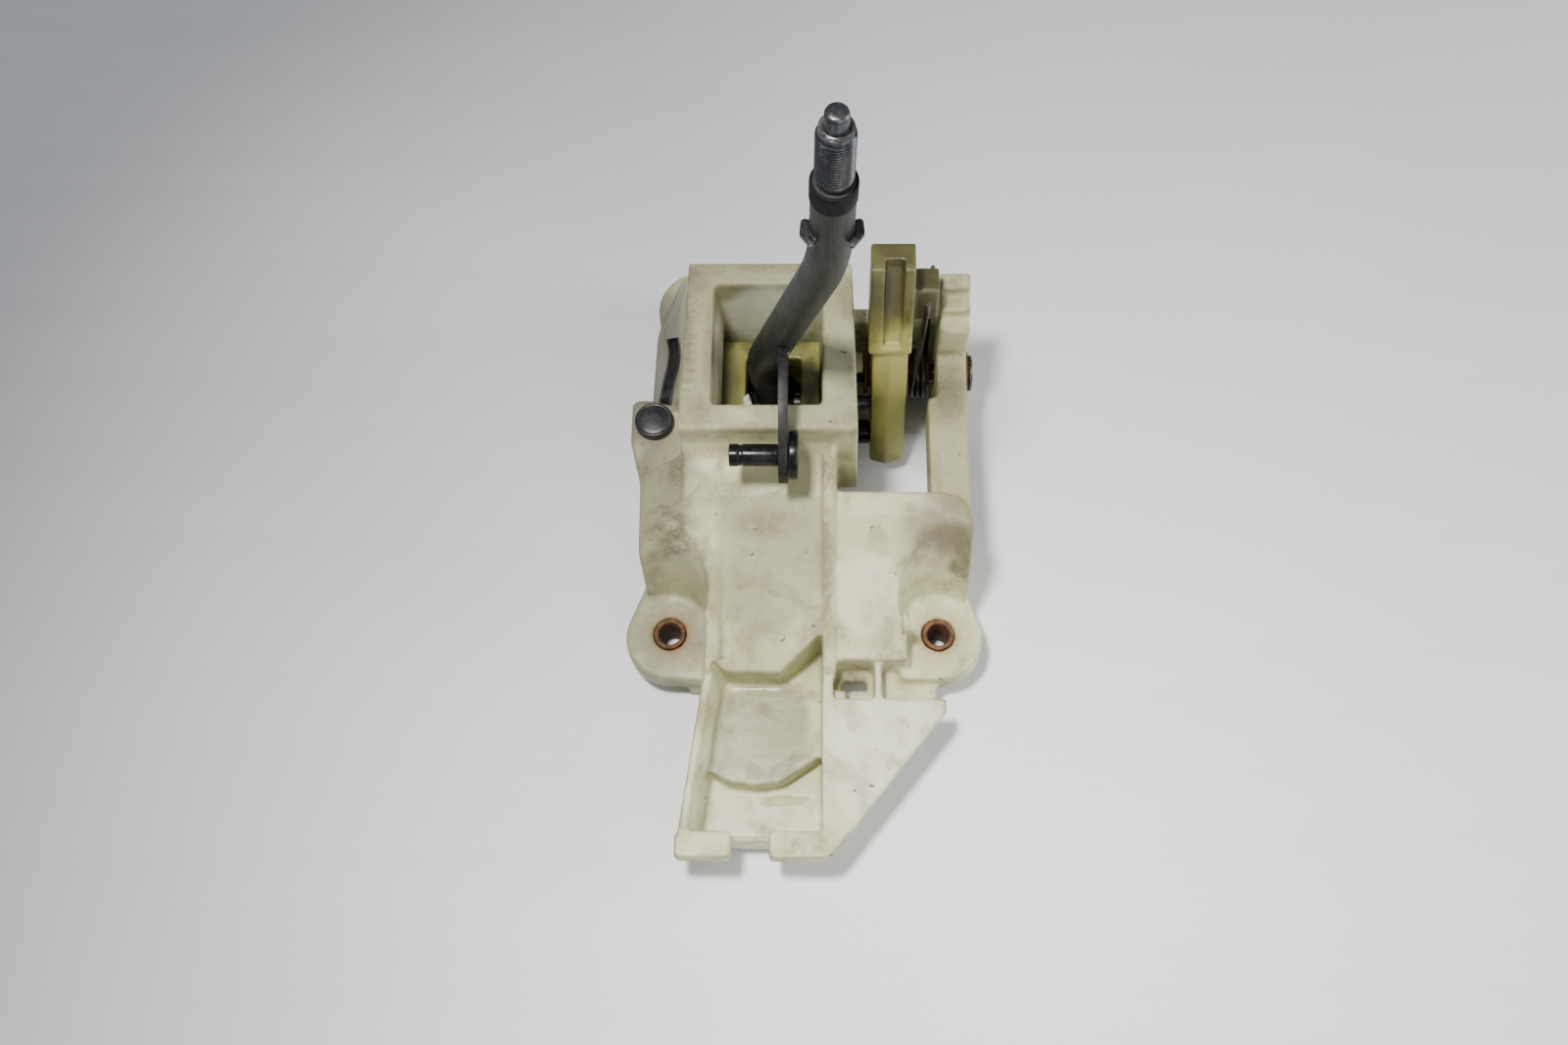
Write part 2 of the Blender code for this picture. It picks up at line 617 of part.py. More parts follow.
def cable_tie(look):
    """A push-in tie button on the left lobe, and its loose strap end lying back along the skirt."""
    profile = [(0, 0), (0, 6.8), (1.2, 7.7), (2.4, 7.8), (3.4, 7.0), (3.9, 5.4), (4.0, 0)]
    finish(turned("cable_tie_button", profile, TIE_BUTTON, TIE_BUTTON + Vector((0, 0, 4)), 28), look)
    route = [(-56.0, 49.7, 49.2), (-54.9, 54.4, 51.0), (-54.1, 58.1, 52.8), (-52.5, 63.1, 55.5)]
    route += [(-51.8, 67.5, 58.0), (-52.2, 70.2, 59.5), (-52.7, 72.5, 61.0)]
    finish(swept("cable_tie_strap", route, 0, 8, flat=STRAP_HALF), look)


# ---------------------------------------------------------------- yoke and lever


def yoke(look, parent):
    """The green block that tips fore and aft, carrying the lever's cross pin."""
    px, py, pz = PIVOT
    x0, x1 = OPENING_X[0] + 0.7, OPENING_X[1] - 0.7
    side = []
    for sy, sz in ((-1, 1), (1, 1), (1, -1), (-1, -1)):
        side += [(py + sy * YOKE_HALF_LENGTH, pz + sz * YOKE_HALF_HEIGHT)]
    block = prism("trunnion_yoke", side, "X", x0, x1, round_edges=3.0, segments=3)
    cuts = [box("window", (-23.5, -1.5), (py - 12, py + 12), (-10, 80))]
    cuts.append(rod("left", 5 + GAP, (-40, py, pz), (-20, py, pz), 24))
    cuts.append(rod("right", SLEEVE_OUTER / 2 + GAP, (-4, py, pz), (20, py, pz), 40))
    cuts.append(rod("cross", HUB_PIN_DIAMETER / 2 + GAP, (px, py - 30, pz), (px, py + 30, pz), 24))
    finish(combine(block, cuts, "DIFFERENCE"), look, parent, origin=PIVOT)


def yoke_bearings(steel, nylon):
    px, py, pz = PIVOT
    finish(rod("left_pivot_pin", 5.0, (-49.0, py, pz), (-24.2, py, pz), 20, 0.8), steel)
    sleeve = tube("right_pivot_sleeve", SLEEVE_OUTER / 2, SLEEVE_BORE / 2, (-0.7, py, pz), (13.0, py, pz), 32)
    finish(sleeve, nylon)


def lever(steel, dark, rubber, nylon, parent, yoke_parent):
    px, py, pz = PIVOT
    top = LEVER_TOP
    along = (top - UPPER_BEND).normalized()
    shank_top = top - along * (PILOT_LENGTH + THREAD_LENGTH)
    path = [PIVOT + Vector((0, 0, 3.0))]
    path += bend_points(PIVOT, LOWER_BEND, UPPER_BEND, 8.0)
    path += bend_points(LOWER_BEND, UPPER_BEND, top, 14.0)
    path += [shank_top]
    bar = swept("lever_rod", path, ROD_DIAMETER / 2, 24)
    hub = rod("hub", 8.6, (px, py - 10.4, pz), (px, py + 10.4, pz), 32)
    profile = [(-3.0, 0), (-3.0, 5.0), (1.0, 5.4)]
    place = 1.0
    crest, root = THREAD_DIAMETER / 2, THREAD_DIAMETER / 2 - 0.7
    while place < THREAD_LENGTH - 2.6:
        profile += [(place + THREAD_PITCH / 2, crest), (place + THREAD_PITCH, root)]
        place += THREAD_PITCH
    end = THREAD_LENGTH + PILOT_LENGTH
    pilot = PILOT_DIAMETER / 2
    profile += [
        (THREAD_LENGTH - 1.2, root), (THREAD_LENGTH, pilot), (end - 1.0, pilot), (end, pilot - 1.0), (end, 0)
    ]
    stud = turned("stud", profile, shank_top, top, 20)
    reach = FINGER_BALL_X - px
    ball = FINGER_BALL_DIAMETER / 2
    neck = math.acos(-2.4 / ball)
    profile = [(0, 0), (0, 3.2), (reach - 8.0, 3.2), (reach + ball * math.cos(neck), ball * math.sin(neck))]
    for step in (0.75, 0.5, 0.25):
        profile.append((reach + ball * math.cos(neck * step), ball * math.sin(neck * step)))
    profile.append((reach + ball, 0))
    finger = turned("finger", profile, PIVOT, PIVOT + Vector((1, 0, 0)), 20)
    combine(bar, [hub, stud, finger], "UNION")
    hole = rod("hole", HUB_PIN_DIAMETER / 2 + 1.0 + GAP, (px, py - 20, pz), (px, py + 20, pz), 24)
    groove_at = top - along * RING_BELOW_TOP
    groove_end = groove_at + along * (RING_LENGTH + GAP)
    groove = tube("groove", 12.0, ROD_DIAMETER / 2 - 1.2, groove_at, groove_end, 24)
    clip_at = top - along * CLIP_BELOW_TOP
    slot_length = CLIP_THICKNESS + 2 * GAP
    slot = tube("slot", 12.0, ROD_DIAMETER / 2 - 1.3, clip_at, clip_at + along * slot_length, 24)
    combine(bar, [hole, groove, slot], "DIFFERENCE")
    finish(bar, steel, parent, origin=PIVOT)

    ring_ends = (groove_at + along * GAP, groove_at + along * (RING_LENGTH - GAP))
    ring = tube("lever_ring", ROD_DIAMETER / 2 + 0.35, ROD_DIAMETER / 2 - 0.9, *ring_ends, 28)
    finish(ring, rubber, parent, origin=PIVOT)
    boot_clip(dark, clip_at + along * GAP, along, parent)

    pin_low, pin_high = (px, py - 20.4, pz), (px, py + 20.4, pz)
    finish(
        rod("hub_cross_pin", HUB_PIN_DIAMETER / 2, pin_low, pin_high, 20, 0.6), steel, yoke_parent,
        origin=PIVOT
    )
    for name, sign in (("front_hub_bush", -1), ("rear_hub_bush", 1)):
        inner, outer = (px, py + sign * 1.0, pz), (px, py + sign * 11.6, pz)
        bush = tube(
            name, HUB_PIN_DIAMETER / 2 + 1.0, HUB_PIN_DIAMETER / 2 + GAP * 0.7, inner, outer, 24, (7.6, 0.9)
        )
        finish(bush, nylon, parent, origin=PIVOT)


def boot_clip(look, low, along, parent):
    """A spring clip in the bar's slot: open in front, with an ear curling round each side."""
    high = low + along * CLIP_THICKNESS
    clip = tube("boot_clip", ROD_DIAMETER / 2 + 0.5, ROD_DIAMETER / 2 - 1.0, low, high, 28)
    ears = []
    for side in (-1, 1):
        points = []
        for x, y, radius in ((8.2, 1.0, 1.4), (8.5, -2.6, 1.4), (6.2, -6.4, 1.0)):
            for z in (low.z, high.z):
                points += circle((low.x + side * x, low.y + y), radius, z, 12)
        ears.append(hull("ear", points))
    combine(clip, ears, "UNION")
    mouth = box("mouth", (low.x - 5.0, low.x + 5.0), (low.y - 14, low.y), (low.z - 5, low.z + 6))
    bar = rod("bar", ROD_DIAMETER / 2 - 1.0, low - along * 5, high + along * 5, 28)
    finish(combine(clip, [mouth, bar], "DIFFERENCE"), look, parent, origin=PIVOT)


def shift_arm(steel, dark, parent):
    """The plate welded to the lever, bent down over the rim, with the shift cable's pin."""
    pin = SHIFT_PIN
    x0, x1 = ARM_X
    outline = [(55.0, 90.0), (55.0, 98.0), (50.0, 107.5), (28.0, 107.5), (13.5, 102.0), (4.0, 96.5)]
    outline += [
        (-0.4, 90.0), (-0.4, 83.5), (2.2, 79.0), (13.0, 78.6), (15.2, 83.0), (16.5, 93.0), (22.0, 95.6)
    ]
    outline += [(44.0, 95.6), (49.0, 90.0)]
    plate = prism("shift_arm", outline, "X", x0, x1)
    bore = rod("bore", PIN_TAIL_RADIUS + GAP, (-20, pin.y, pin.z), (10, pin.y, pin.z), 20)
    leaning = (UPPER_BEND - LOWER_BEND).normalized()
    clear = rod("clear", ROD_DIAMETER / 2 + GAP, LOWER_BEND - leaning * 14, LOWER_BEND + leaning * 60, 32)
    lower = (LOWER_BEND - PIVOT).normalized()
    clear_low = rod("clear", ROD_DIAMETER / 2 + GAP, PIVOT, LOWER_BEND + lower * 5, 32)
    finish(combine(plate, [bore, clear, clear_low], "DIFFERENCE"), steel, parent, origin=PIVOT)

    length = x0 - GAP - SHIFT_PIN_END_X
    end = x1 + GAP + PIN_DISC_LENGTH - SHIFT_PIN_END_X
    radius = SHIFT_PIN_DIAMETER / 2
    profile = [
        (0, 0), (0, radius - 1.2), (1.2, radius), (3.4, radius), (3.8, radius - 0.25), (4.8, radius - 0.25)
    ]
    profile += [(5.2, radius), (length, radius), (length, PIN_TAIL_RADIUS), (end, PIN_TAIL_RADIUS), (end, 0)]
    start = Vector((SHIFT_PIN_END_X, pin.y, pin.z))
    finish(
        turned("shift_cable_pin", profile, start, start + Vector((1, 0, 0)), 24), dark, parent, origin=PIVOT
    )
    disc_ends = [(x, pin.y, pin.z) for x in (x1 + GAP, x1 + GAP + PIN_DISC_LENGTH)]
    disc = tube("shift_pin_disc", PIN_DISC_DIAMETER / 2, PIN_TAIL_RADIUS + GAP, *disc_ends, 32)
    finish(disc, dark, parent, origin=PIVOT)


# ---------------------------------------------------------------- bell crank


def bell_crank(look, dark, parent):
    """Tall lever on the right: head above, spring tab to its right, cable pin at its foot."""
    origin = on_shaft(34.0)
    x0, x1 = CRANK_X
    ridge_x = 33.6
    flank = 2.0
    front = [(41.0, 9.0), (63.0, 66.5)]
    body = []
    for y, z in front:
        body += [(ridge_x, y, z), (x0, y + flank, z + 0.6), (x1, y + flank, z + 0.6)]
    for y, z in ((44.0, 7.6), (60.0, 9.5), (80.0, 30.0), (82.0, 66.5)):
        body += [(x0, y, z), (x1, y, z)]
    crank = hull("bell_crank", body)
    head = [(61.8, 66.0), (74.3, 108.6), (86.7, 108.6), (82.5, 66.0)]
    top = prism("head", head, "X", *CRANK_HEAD_X, round_edges=0.8, segments=2)
    hub = rod("hub", 12.0, on_shaft(x0), on_shaft(x1 + 1.0), 40)
    tab = prism("tab", [(72.5, 75.0), (75.2, 92.0), (86.4, 92.0), (83.7, 75.0)], "X", *TAB_X, round_edges=1.2)
    combine(crank, [top, hub, tab], "UNION")
    cuts = [rod("bore", CRANK_BORE / 2, on_shaft(10), on_shaft(60), 28)]
    groove = [(60.0, 70.0), (66.2, 69.0), (79.5, 104.0), (79.5, 112.0), (66.0, 112.0)]
    cuts.append(prism("groove", groove, "X", 30.6, 37.8))
    reach = FINGER_BALL_DIAMETER / 2 + 0.45
    slot = [(PIVOT.y - 5.6, CRANK_Z - 1 - reach), (PIVOT.y + 4.6, CRANK_Z - 1 - reach)]
    slot += [(PIVOT.y + 4.6, CRANK_Z - 1 + reach), (PIVOT.y - 5.6, CRANK_Z - 1 + reach)]
    cuts.append(prism("slot", slot, "X", 20.0, 33.5, round_edges=reach * 0.9, segments=4))
    cuts.append(
        rod("pin_hole", 3.5 + GAP, (20, SELECT_PIN_Y, SELECT_PIN_Z), (60, SELECT_PIN_Y, SELECT_PIN_Z), 20)
    )
    finish(combine(crank, cuts, "DIFFERENCE"), look, parent, origin=origin)

    start = Vector((14.6, SELECT_PIN_Y, SELECT_PIN_Z))
    shoulder = x0 - GAP - start.x
    radius = SELECT_PIN_DIAMETER / 2
    profile = [
        (0, 0), (0, radius - 1.0), (1.0, radius), (3.2, radius), (3.6, radius - 0.8), (4.6, radius - 0.8)
    ]
    profile += [
        (5.0, radius), (shoulder, radius), (shoulder, 3.5), (shoulder + 12.0, 3.5), (shoulder + 12.0, 0)
    ]
    finish(
        turned("select_cable_pin", profile, start, start + Vector((1, 0, 0)), 24), dark, parent, origin=origin
    )


def crank_bearing(steel, rust):
    bore = SHAFT_DIAMETER / 2 + GAP
    finish(tube("crank_sleeve", CRANK_BORE / 2 - GAP, bore, on_shaft(25.8), on_shaft(50.9), 24), steel)
    finish(tube("left_thrust_washer", WASHER_RADIUS - 0.6, bore, on_shaft(24.3), on_shaft(25.5), 32), rust)


def centring_spring(look):
    """Coil round the crank's axis, with two legs standing up on either side of the tab."""
    lean = math.radians(LEG_ANGLE)
    up = Vector((0, math.sin(lean), math.cos(lean)))
    back = Vector((0, math.cos(lean), -math.sin(lean)))
    wire = SPRING_WIRE / 2
    first, last = SPRING_X[0] + wire, SPRING_X[1] - wire
    steps = 14
    count = round(SPRING_TURNS * steps)
    coil = []
    for i in range(count + 1):
        angle = 2 * math.pi * i / steps
        offset = (-back * math.cos(angle) - up * math.sin(angle)) * SPRING_RADIUS
        coil.append(on_shaft(first + (last - first) * i / count) + offset)
    leaning = up * LEG_LENGTH + Vector((FRONT_LEG_SHIFT, 0, 0))
    front_leg = [coil[0] + leaning * k / 3 for k in (3, 2, 1)]
    rear_leg = [coil[-1] + up * LEG_LENGTH * k / 3 for k in (1, 2, 3)]
    finish(swept("centring_spring", front_leg + coil + rear_leg, wire, 10), look)


# ---------------------------------------------------------------- assembly


def build():
    clear_scene()
    nylon = material("cream_nylon", (0.74, 0.71, 0.58), 0.42)
    green = material("green_nylon", (0.36, 0.38, 0.16), 0.4)
    grey_steel = material("lever_steel", (0.09, 0.09, 0.095), 0.42, 0.8)
    plate_steel = material("plate_steel", (0.12, 0.12, 0.12), 0.4, 0.9)
    black_oxide = material("black_oxide_steel", (0.02, 0.02, 0.022), 0.25, 0.7)
    rust = material("rusty_steel", (0.22, 0.09, 0.04), 0.8, 0.3)
    spring_steel = material("spring_steel", (0.05, 0.05, 0.05), 0.4, 0.8)
    rubber = material("black_rubber", (0.02, 0.02, 0.02), 0.7)
    black_nylon = material("black_nylon", (0.015, 0.015, 0.017), 0.5)
    bush_nylon = material("natural_nylon", (0.75, 0.73, 0.66), 0.45)

    shift_axis = empty("shift_axis", PIVOT)
    select_axis = empty("select_axis", PIVOT)
    select_axis.parent = shift_axis
    select_axis.location = (0, 0, 0)
    crank_axis = empty("crank_axis", on_shaft(34.0))

    base_housing(nylon)
    bushings(rust)
    crank_shaft_pieces(black_oxide, rust)
    cable_tie(black_nylon)
    yoke(green, shift_axis)
    yoke_bearings(plate_steel, bush_nylon)
    lever(grey_steel, black_oxide, rubber, bush_nylon, select_axis, shift_axis)
    shift_arm(plate_steel, black_oxide, select_axis)
    bell_crank(green, black_oxide, crank_axis)
    crank_bearing(plate_steel, rust)
    centring_spring(spring_steel)


build()
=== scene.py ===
"""Looks for the manual gear shift lever assembly.

The housing is grimy cream nylon, the crank and the yoke are olive nylon, and the lever is dark steel.
Shapes are written in millimetres in the CAD model's frame and scaled to metres when a mesh is made.
"""

import math

import bmesh
import bpy
import numpy as np
from mathutils import Matrix, Vector


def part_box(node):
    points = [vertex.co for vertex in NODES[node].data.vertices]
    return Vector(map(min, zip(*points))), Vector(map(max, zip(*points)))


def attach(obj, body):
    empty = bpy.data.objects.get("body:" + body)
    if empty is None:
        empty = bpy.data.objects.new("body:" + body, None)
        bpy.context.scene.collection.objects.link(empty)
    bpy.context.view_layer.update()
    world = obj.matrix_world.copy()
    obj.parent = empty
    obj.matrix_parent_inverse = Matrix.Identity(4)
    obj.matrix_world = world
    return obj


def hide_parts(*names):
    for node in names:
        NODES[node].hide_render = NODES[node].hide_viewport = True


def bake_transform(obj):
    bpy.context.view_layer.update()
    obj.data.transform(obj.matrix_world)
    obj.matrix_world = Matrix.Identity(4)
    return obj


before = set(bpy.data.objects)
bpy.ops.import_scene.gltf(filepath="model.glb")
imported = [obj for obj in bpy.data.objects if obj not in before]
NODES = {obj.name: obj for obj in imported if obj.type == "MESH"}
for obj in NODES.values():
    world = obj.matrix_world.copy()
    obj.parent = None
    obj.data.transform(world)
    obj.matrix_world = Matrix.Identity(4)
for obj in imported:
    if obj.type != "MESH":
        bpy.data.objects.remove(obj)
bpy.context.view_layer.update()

MM = 0.001
PIVOT = Vector((-12.5, 58.4, 32.0))
LOWER_BEND = Vector((-16.0, 61.0, 64.0))
UPPER_BEND = Vector((9.8, 30.8, 188.0))
LEVER_TOP = Vector((11.2, 30.7, 262.0))
ALONG_TOP = (LEVER_TOP - UPPER_BEND).normalized()
STUD_LENGTH = 32.0
PILOT_LENGTH = 7.0
CRANK_Y, CRANK_Z = 71.5, 33.0
FEET = ((-53.0, -38.0), (53.0, -38.0), (-45.0, 109.0), (38.0, 100.0))
FEET_NAMES = ("front_left", "front_right", "rear_left", "rear_right")
FOOT_TOP = 21.0

# The lever: bar, thread, rubber ring, hub and the finger that turns the crank
BAR_RADIUS = 7.0
BAR_GRAIN = (1.6, 1.6, 0.06)
BAR_NECK_RADIUS = 6.2
THREAD_PITCH, THREAD_CREST, THREAD_DEPTH = 1.25, 6.0, 0.72
THREAD_COUNT, BAR_COUNT = 64, 48
RING_BELOW_TOP, RING_LENGTH = 40.2, 8.2
RING_BORE_RADIUS, RING_RADIUS = 6.2, 7.35
HUB_RADIUS, HUB_LENGTH = 8.6, 20.8
FINGER_RADIUS, FINGER_NECK_RADIUS = 3.2, 2.4
BALL_RADIUS, BALL_X = 3.5, 29.0

# The cable pins: tip, radius, length to the shoulder and the tail behind it
SHIFT_PIN_TIP = Vector((-27.0, 8.9, 88.0))
SHIFT_PIN_RADIUS, SHIFT_PIN_LENGTH = 4.2, 17.9
SHIFT_TAIL_RADIUS, SHIFT_TAIL_LENGTH = 3.2, 7.6
DISC_BORE_RADIUS, DISC_RADIUS = 3.5, 9.25
SELECT_PIN_TIP = Vector((14.6, 53.0, 16.0))
SELECT_PIN_RADIUS, SELECT_PIN_LENGTH = 5.0, 12.1
SELECT_TAIL_RADIUS, SELECT_TAIL_LENGTH = 3.5, 12.0

WELD_START, WELD_LENGTH, WELD_STEPS = 28.0, 17.0, 60

LIMITER_BORE_RADIUS, LIMITER_RADIUS, LIMITER_HEIGHT = 4.5, 6.25, 21.3

# The centring spring
WIRE_RADIUS = 1.1
COIL_LEFT_X, COIL_RIGHT_X = 42.7, 50.9
COIL_RADIUS, COIL_TURNS, COIL_STEPS = 9.3, 2.5, 120
LEG_LENGTH, LEG_STEPS, LEG_LEAN_DEGREES = 56.0, 28, 9.0
FRONT_LEG_SHIFT = 3.7

BUTTON_SEAT = Vector((-59.8, 41.5, 47.6))
STRAP_HALF_WIDTH = 2.4
STRAP_TOOTH = 0.32

GREASE_CENTRE = Vector((-23.4, 49.4, 47.2))
GREASE_HALF = Vector((2.3, 4.6, 1.5))

FLOOR_HALF_METRES = 3.0

# Colours of the nylon: its own tones, painted light, painted shade and dirt
CREAM_DEEP = (0.436, 0.425, 0.230)
CREAM = (0.515, 0.507, 0.305)
CREAM_AGED = (0.335, 0.312, 0.160)
# The next two tones are painted light; the two after them also serve as painted shade
CREAM_PAINTED_LIGHT = (0.665, 0.668, 0.475)
CREAM_PAINTED_LIGHT_INSIDE = (0.790, 0.795, 0.610)
CREAM_DARKENED = (0.252, 0.250, 0.150)
CREAM_THIN_AND_SHADE = (0.405, 0.415, 0.200)
ROAD_DIRT_AND_SHADE = (0.138, 0.110, 0.060)
BLOCK_STAIN = (0.165, 0.140, 0.078)
SKIRT_GREY = (0.120, 0.106, 0.080)
CRAYON_PINK = (0.52, 0.12, 0.26)
RUST_RUN = (0.270, 0.115, 0.034)
GRIT = (0.040, 0.030, 0.020)
OILY = (0.330, 0.310, 0.150)
OLIVE_DEEP = (0.185, 0.176, 0.036)
OLIVE = (0.270, 0.262, 0.064)
OLIVE_AGED = (0.160, 0.130, 0.028)
OLIVE_SCUFFED = (0.430, 0.430, 0.190)
OLIVE_GRIME_AND_SHADE = (0.034, 0.028, 0.011)
OLIVE_LIGHTER = (0.390, 0.370, 0.125)
OLIVE_DARKER = (0.100, 0.094, 0.024)

# Colours of the metal, rubber, grease and table
STEEL_DUST = (0.150, 0.135, 0.115)
STEEL_WORN = (0.520, 0.500, 0.470)
RUST_DARK = (0.030, 0.015, 0.008)
RUST_BROWN = (0.150, 0.062, 0.018)
RUST_ORANGE = (0.350, 0.140, 0.028)
BLACK = (0.010, 0.010, 0.011)
BLACK_RUBBER = (0.004, 0.004, 0.005)
BLACK_DUST = (0.120, 0.112, 0.100)
GREASE_DARK, GREASE_PALE = (0.230, 0.215, 0.180), (0.600, 0.590, 0.530)
BOARD_DEEP, BOARD = (0.700, 0.705, 0.705), (0.745, 0.747, 0.745)
BOARD_STREAK = (0.640, 0.642, 0.640)

# Patches of road dirt: centre, radii, softness, the noise that breaks up the edge, and strength
DIRT_PATCHES = (
    ((-19.0, -7.0, 62.0), (18.0, 8.0, 14.0), 0.9, "broad", 0.75),
    ((50.0, -4.0, 58.0), (20.0, 13.0, 14.0), 0.8, "cloud", 0.5),
    ((63.0, -14.0, 46.0), (8.0, 20.0, 26.0), 0.6, "cloud", 1.0),
    ((46.0, -18.0, 50.0), (12.0, 14.0, 12.0), 0.8, "cloud", 0.6),
    ((-44.0, 88.0, 84.0), (12.0, 12.0, 8.0), 0.8, "cloud", 0.9),
    ((-45.5, 58.0, 84.0), (5.5, 34.0, 9.0), 0.8, "brushed", 0.9),
    ((-41.0, 28.0, 84.0), (14.0, 12.0, 12.0), 0.9, "cloud", 0.8),
    ((-36.0, 56.0, 84.0), (3.0, 30.0, 6.0), 0.8, "fine", 0.7),
    ((17.5, 79.0, 84.0), (6.5, 14.0, 14.0), 0.6, "cloud", 0.6),
    ((19.5, 50.0, 82.0), (4.0, 34.0, 9.0), 0.8, "brushed", 0.5),
    ((-12.0, 92.0, 84.0), (34.0, 5.0, 6.0), 0.8, "fine", 0.8),
    ((-14.0, 21.0, 83.0), (34.0, 4.0, 4.0), 0.8, "fine", 0.9),
    ((-14.0, 18.0, 70.0), (36.0, 5.0, 6.0), 0.8, "fine", 0.7),
    ((-32.0, 4.0, 66.0), (16.0, 10.0, 10.0), 0.9, "cloud", 0.6),
    ((-50.0, -6.0, 52.0), (14.0, 18.0, 16.0), 0.8, "brushed", 1.0),
    ((-48.0, 14.0, 60.0), (10.0, 16.0, 14.0), 0.8, "cloud", 0.9),
    ((-53.0, -38.0, 21.0), (20.0, 20.0, 6.0), 0.6, "fine", 0.55),
    ((53.0, -38.0, 21.0), (20.0, 20.0, 6.0), 0.6, "fine", 0.35),
    ((19.5, -55.0, 16.0), (9.0, 7.0, 6.0), 0.7, "cloud", 1.0),
    ((32.0, -42.0, 28.0), (5.0, 26.0, 30.0), 0.8, "cloud", 0.6),
    ((9.4, -24.0, 52.0), (3.2, 44.0, 30.0), 0.6, "fine", 0.8),
    ((9.4, 12.0, 70.0), (3.4, 14.0, 8.0), 0.6, "fine", 1.0),
    ((58.0, 60.0, 50.0), (10.0, 34.0, 10.0), 0.9, "cloud", 0.7),
    ((58.0, 84.0, 78.0), (10.0, 12.0, 12.0), 0.8, "fine", 0.8),
)

# Marks on the green nylon, each (centre, radii, strength) and for a tint its colour: dirt, painted shade, and
# places painted lighter or darker
CRANK_DIRT_AND_SHADE = (
    ((34.0, 86.0, 108.0), (18.0, 22.0, 22.0), 0.85),
    # Painted shade on the crank's left side, where the lever's shadow falls
    ((25.4, 74.0, 90.0), (7.5, 24.0, 40.0), 0.85),
    ((34.0, 76.0, 94.0), (9.5, 18.0, 24.0), 0.75),
    ((34.0, 46.0, 9.0), (10.0, 8.0, 6.0), 0.7),
    ((48.0, 80.0, 84.0), (14.0, 30.0, 34.0), 1.00),
)
CRANK_TINTS = (
    ((38.0, 58.0, 60.0), (14.0, 28.0, 28.0), 0.90, OLIVE_LIGHTER),
    ((38.0, 44.0, 34.0), (14.0, 16.0, 26.0), 0.60, OLIVE_LIGHTER),
    ((34.0, 84.0, 98.0), (20.0, 32.0, 30.0), 0.92, OLIVE_DARKER),
    ((48.0, 80.0, 84.0), (10.0, 22.0, 24.0), 0.90, OLIVE_DARKER),
)
YOKE_TINTS = (((-31.0, 60.0, 46.0), (7.0, 24.0, 10.0), 0.6, OLIVE_DARKER),)
YOKE_DIRT_AND_SHADE = (
    ((-31.0, 60.0, 46.0), (7.0, 24.0, 10.0), 0.5),
    # Painted shadow of the lever on the yoke's right side, with dirt
    ((-2.0, 58.0, 44.0), (15.0, 30.0, 16.0), 1.0),
    ((-12.0, 76.0, 46.0), (26.0, 7.0, 8.0), 0.9),
    ((-31.0, 78.0, 46.0), (6.0, 6.0, 8.0), 0.9),
    # Painted shade low inside the turret
    ((-14.0, 58.0, 30.0), (14.0, 18.0, 22.0), 1.0),
)


# ---------------------------------------------------------------- materials


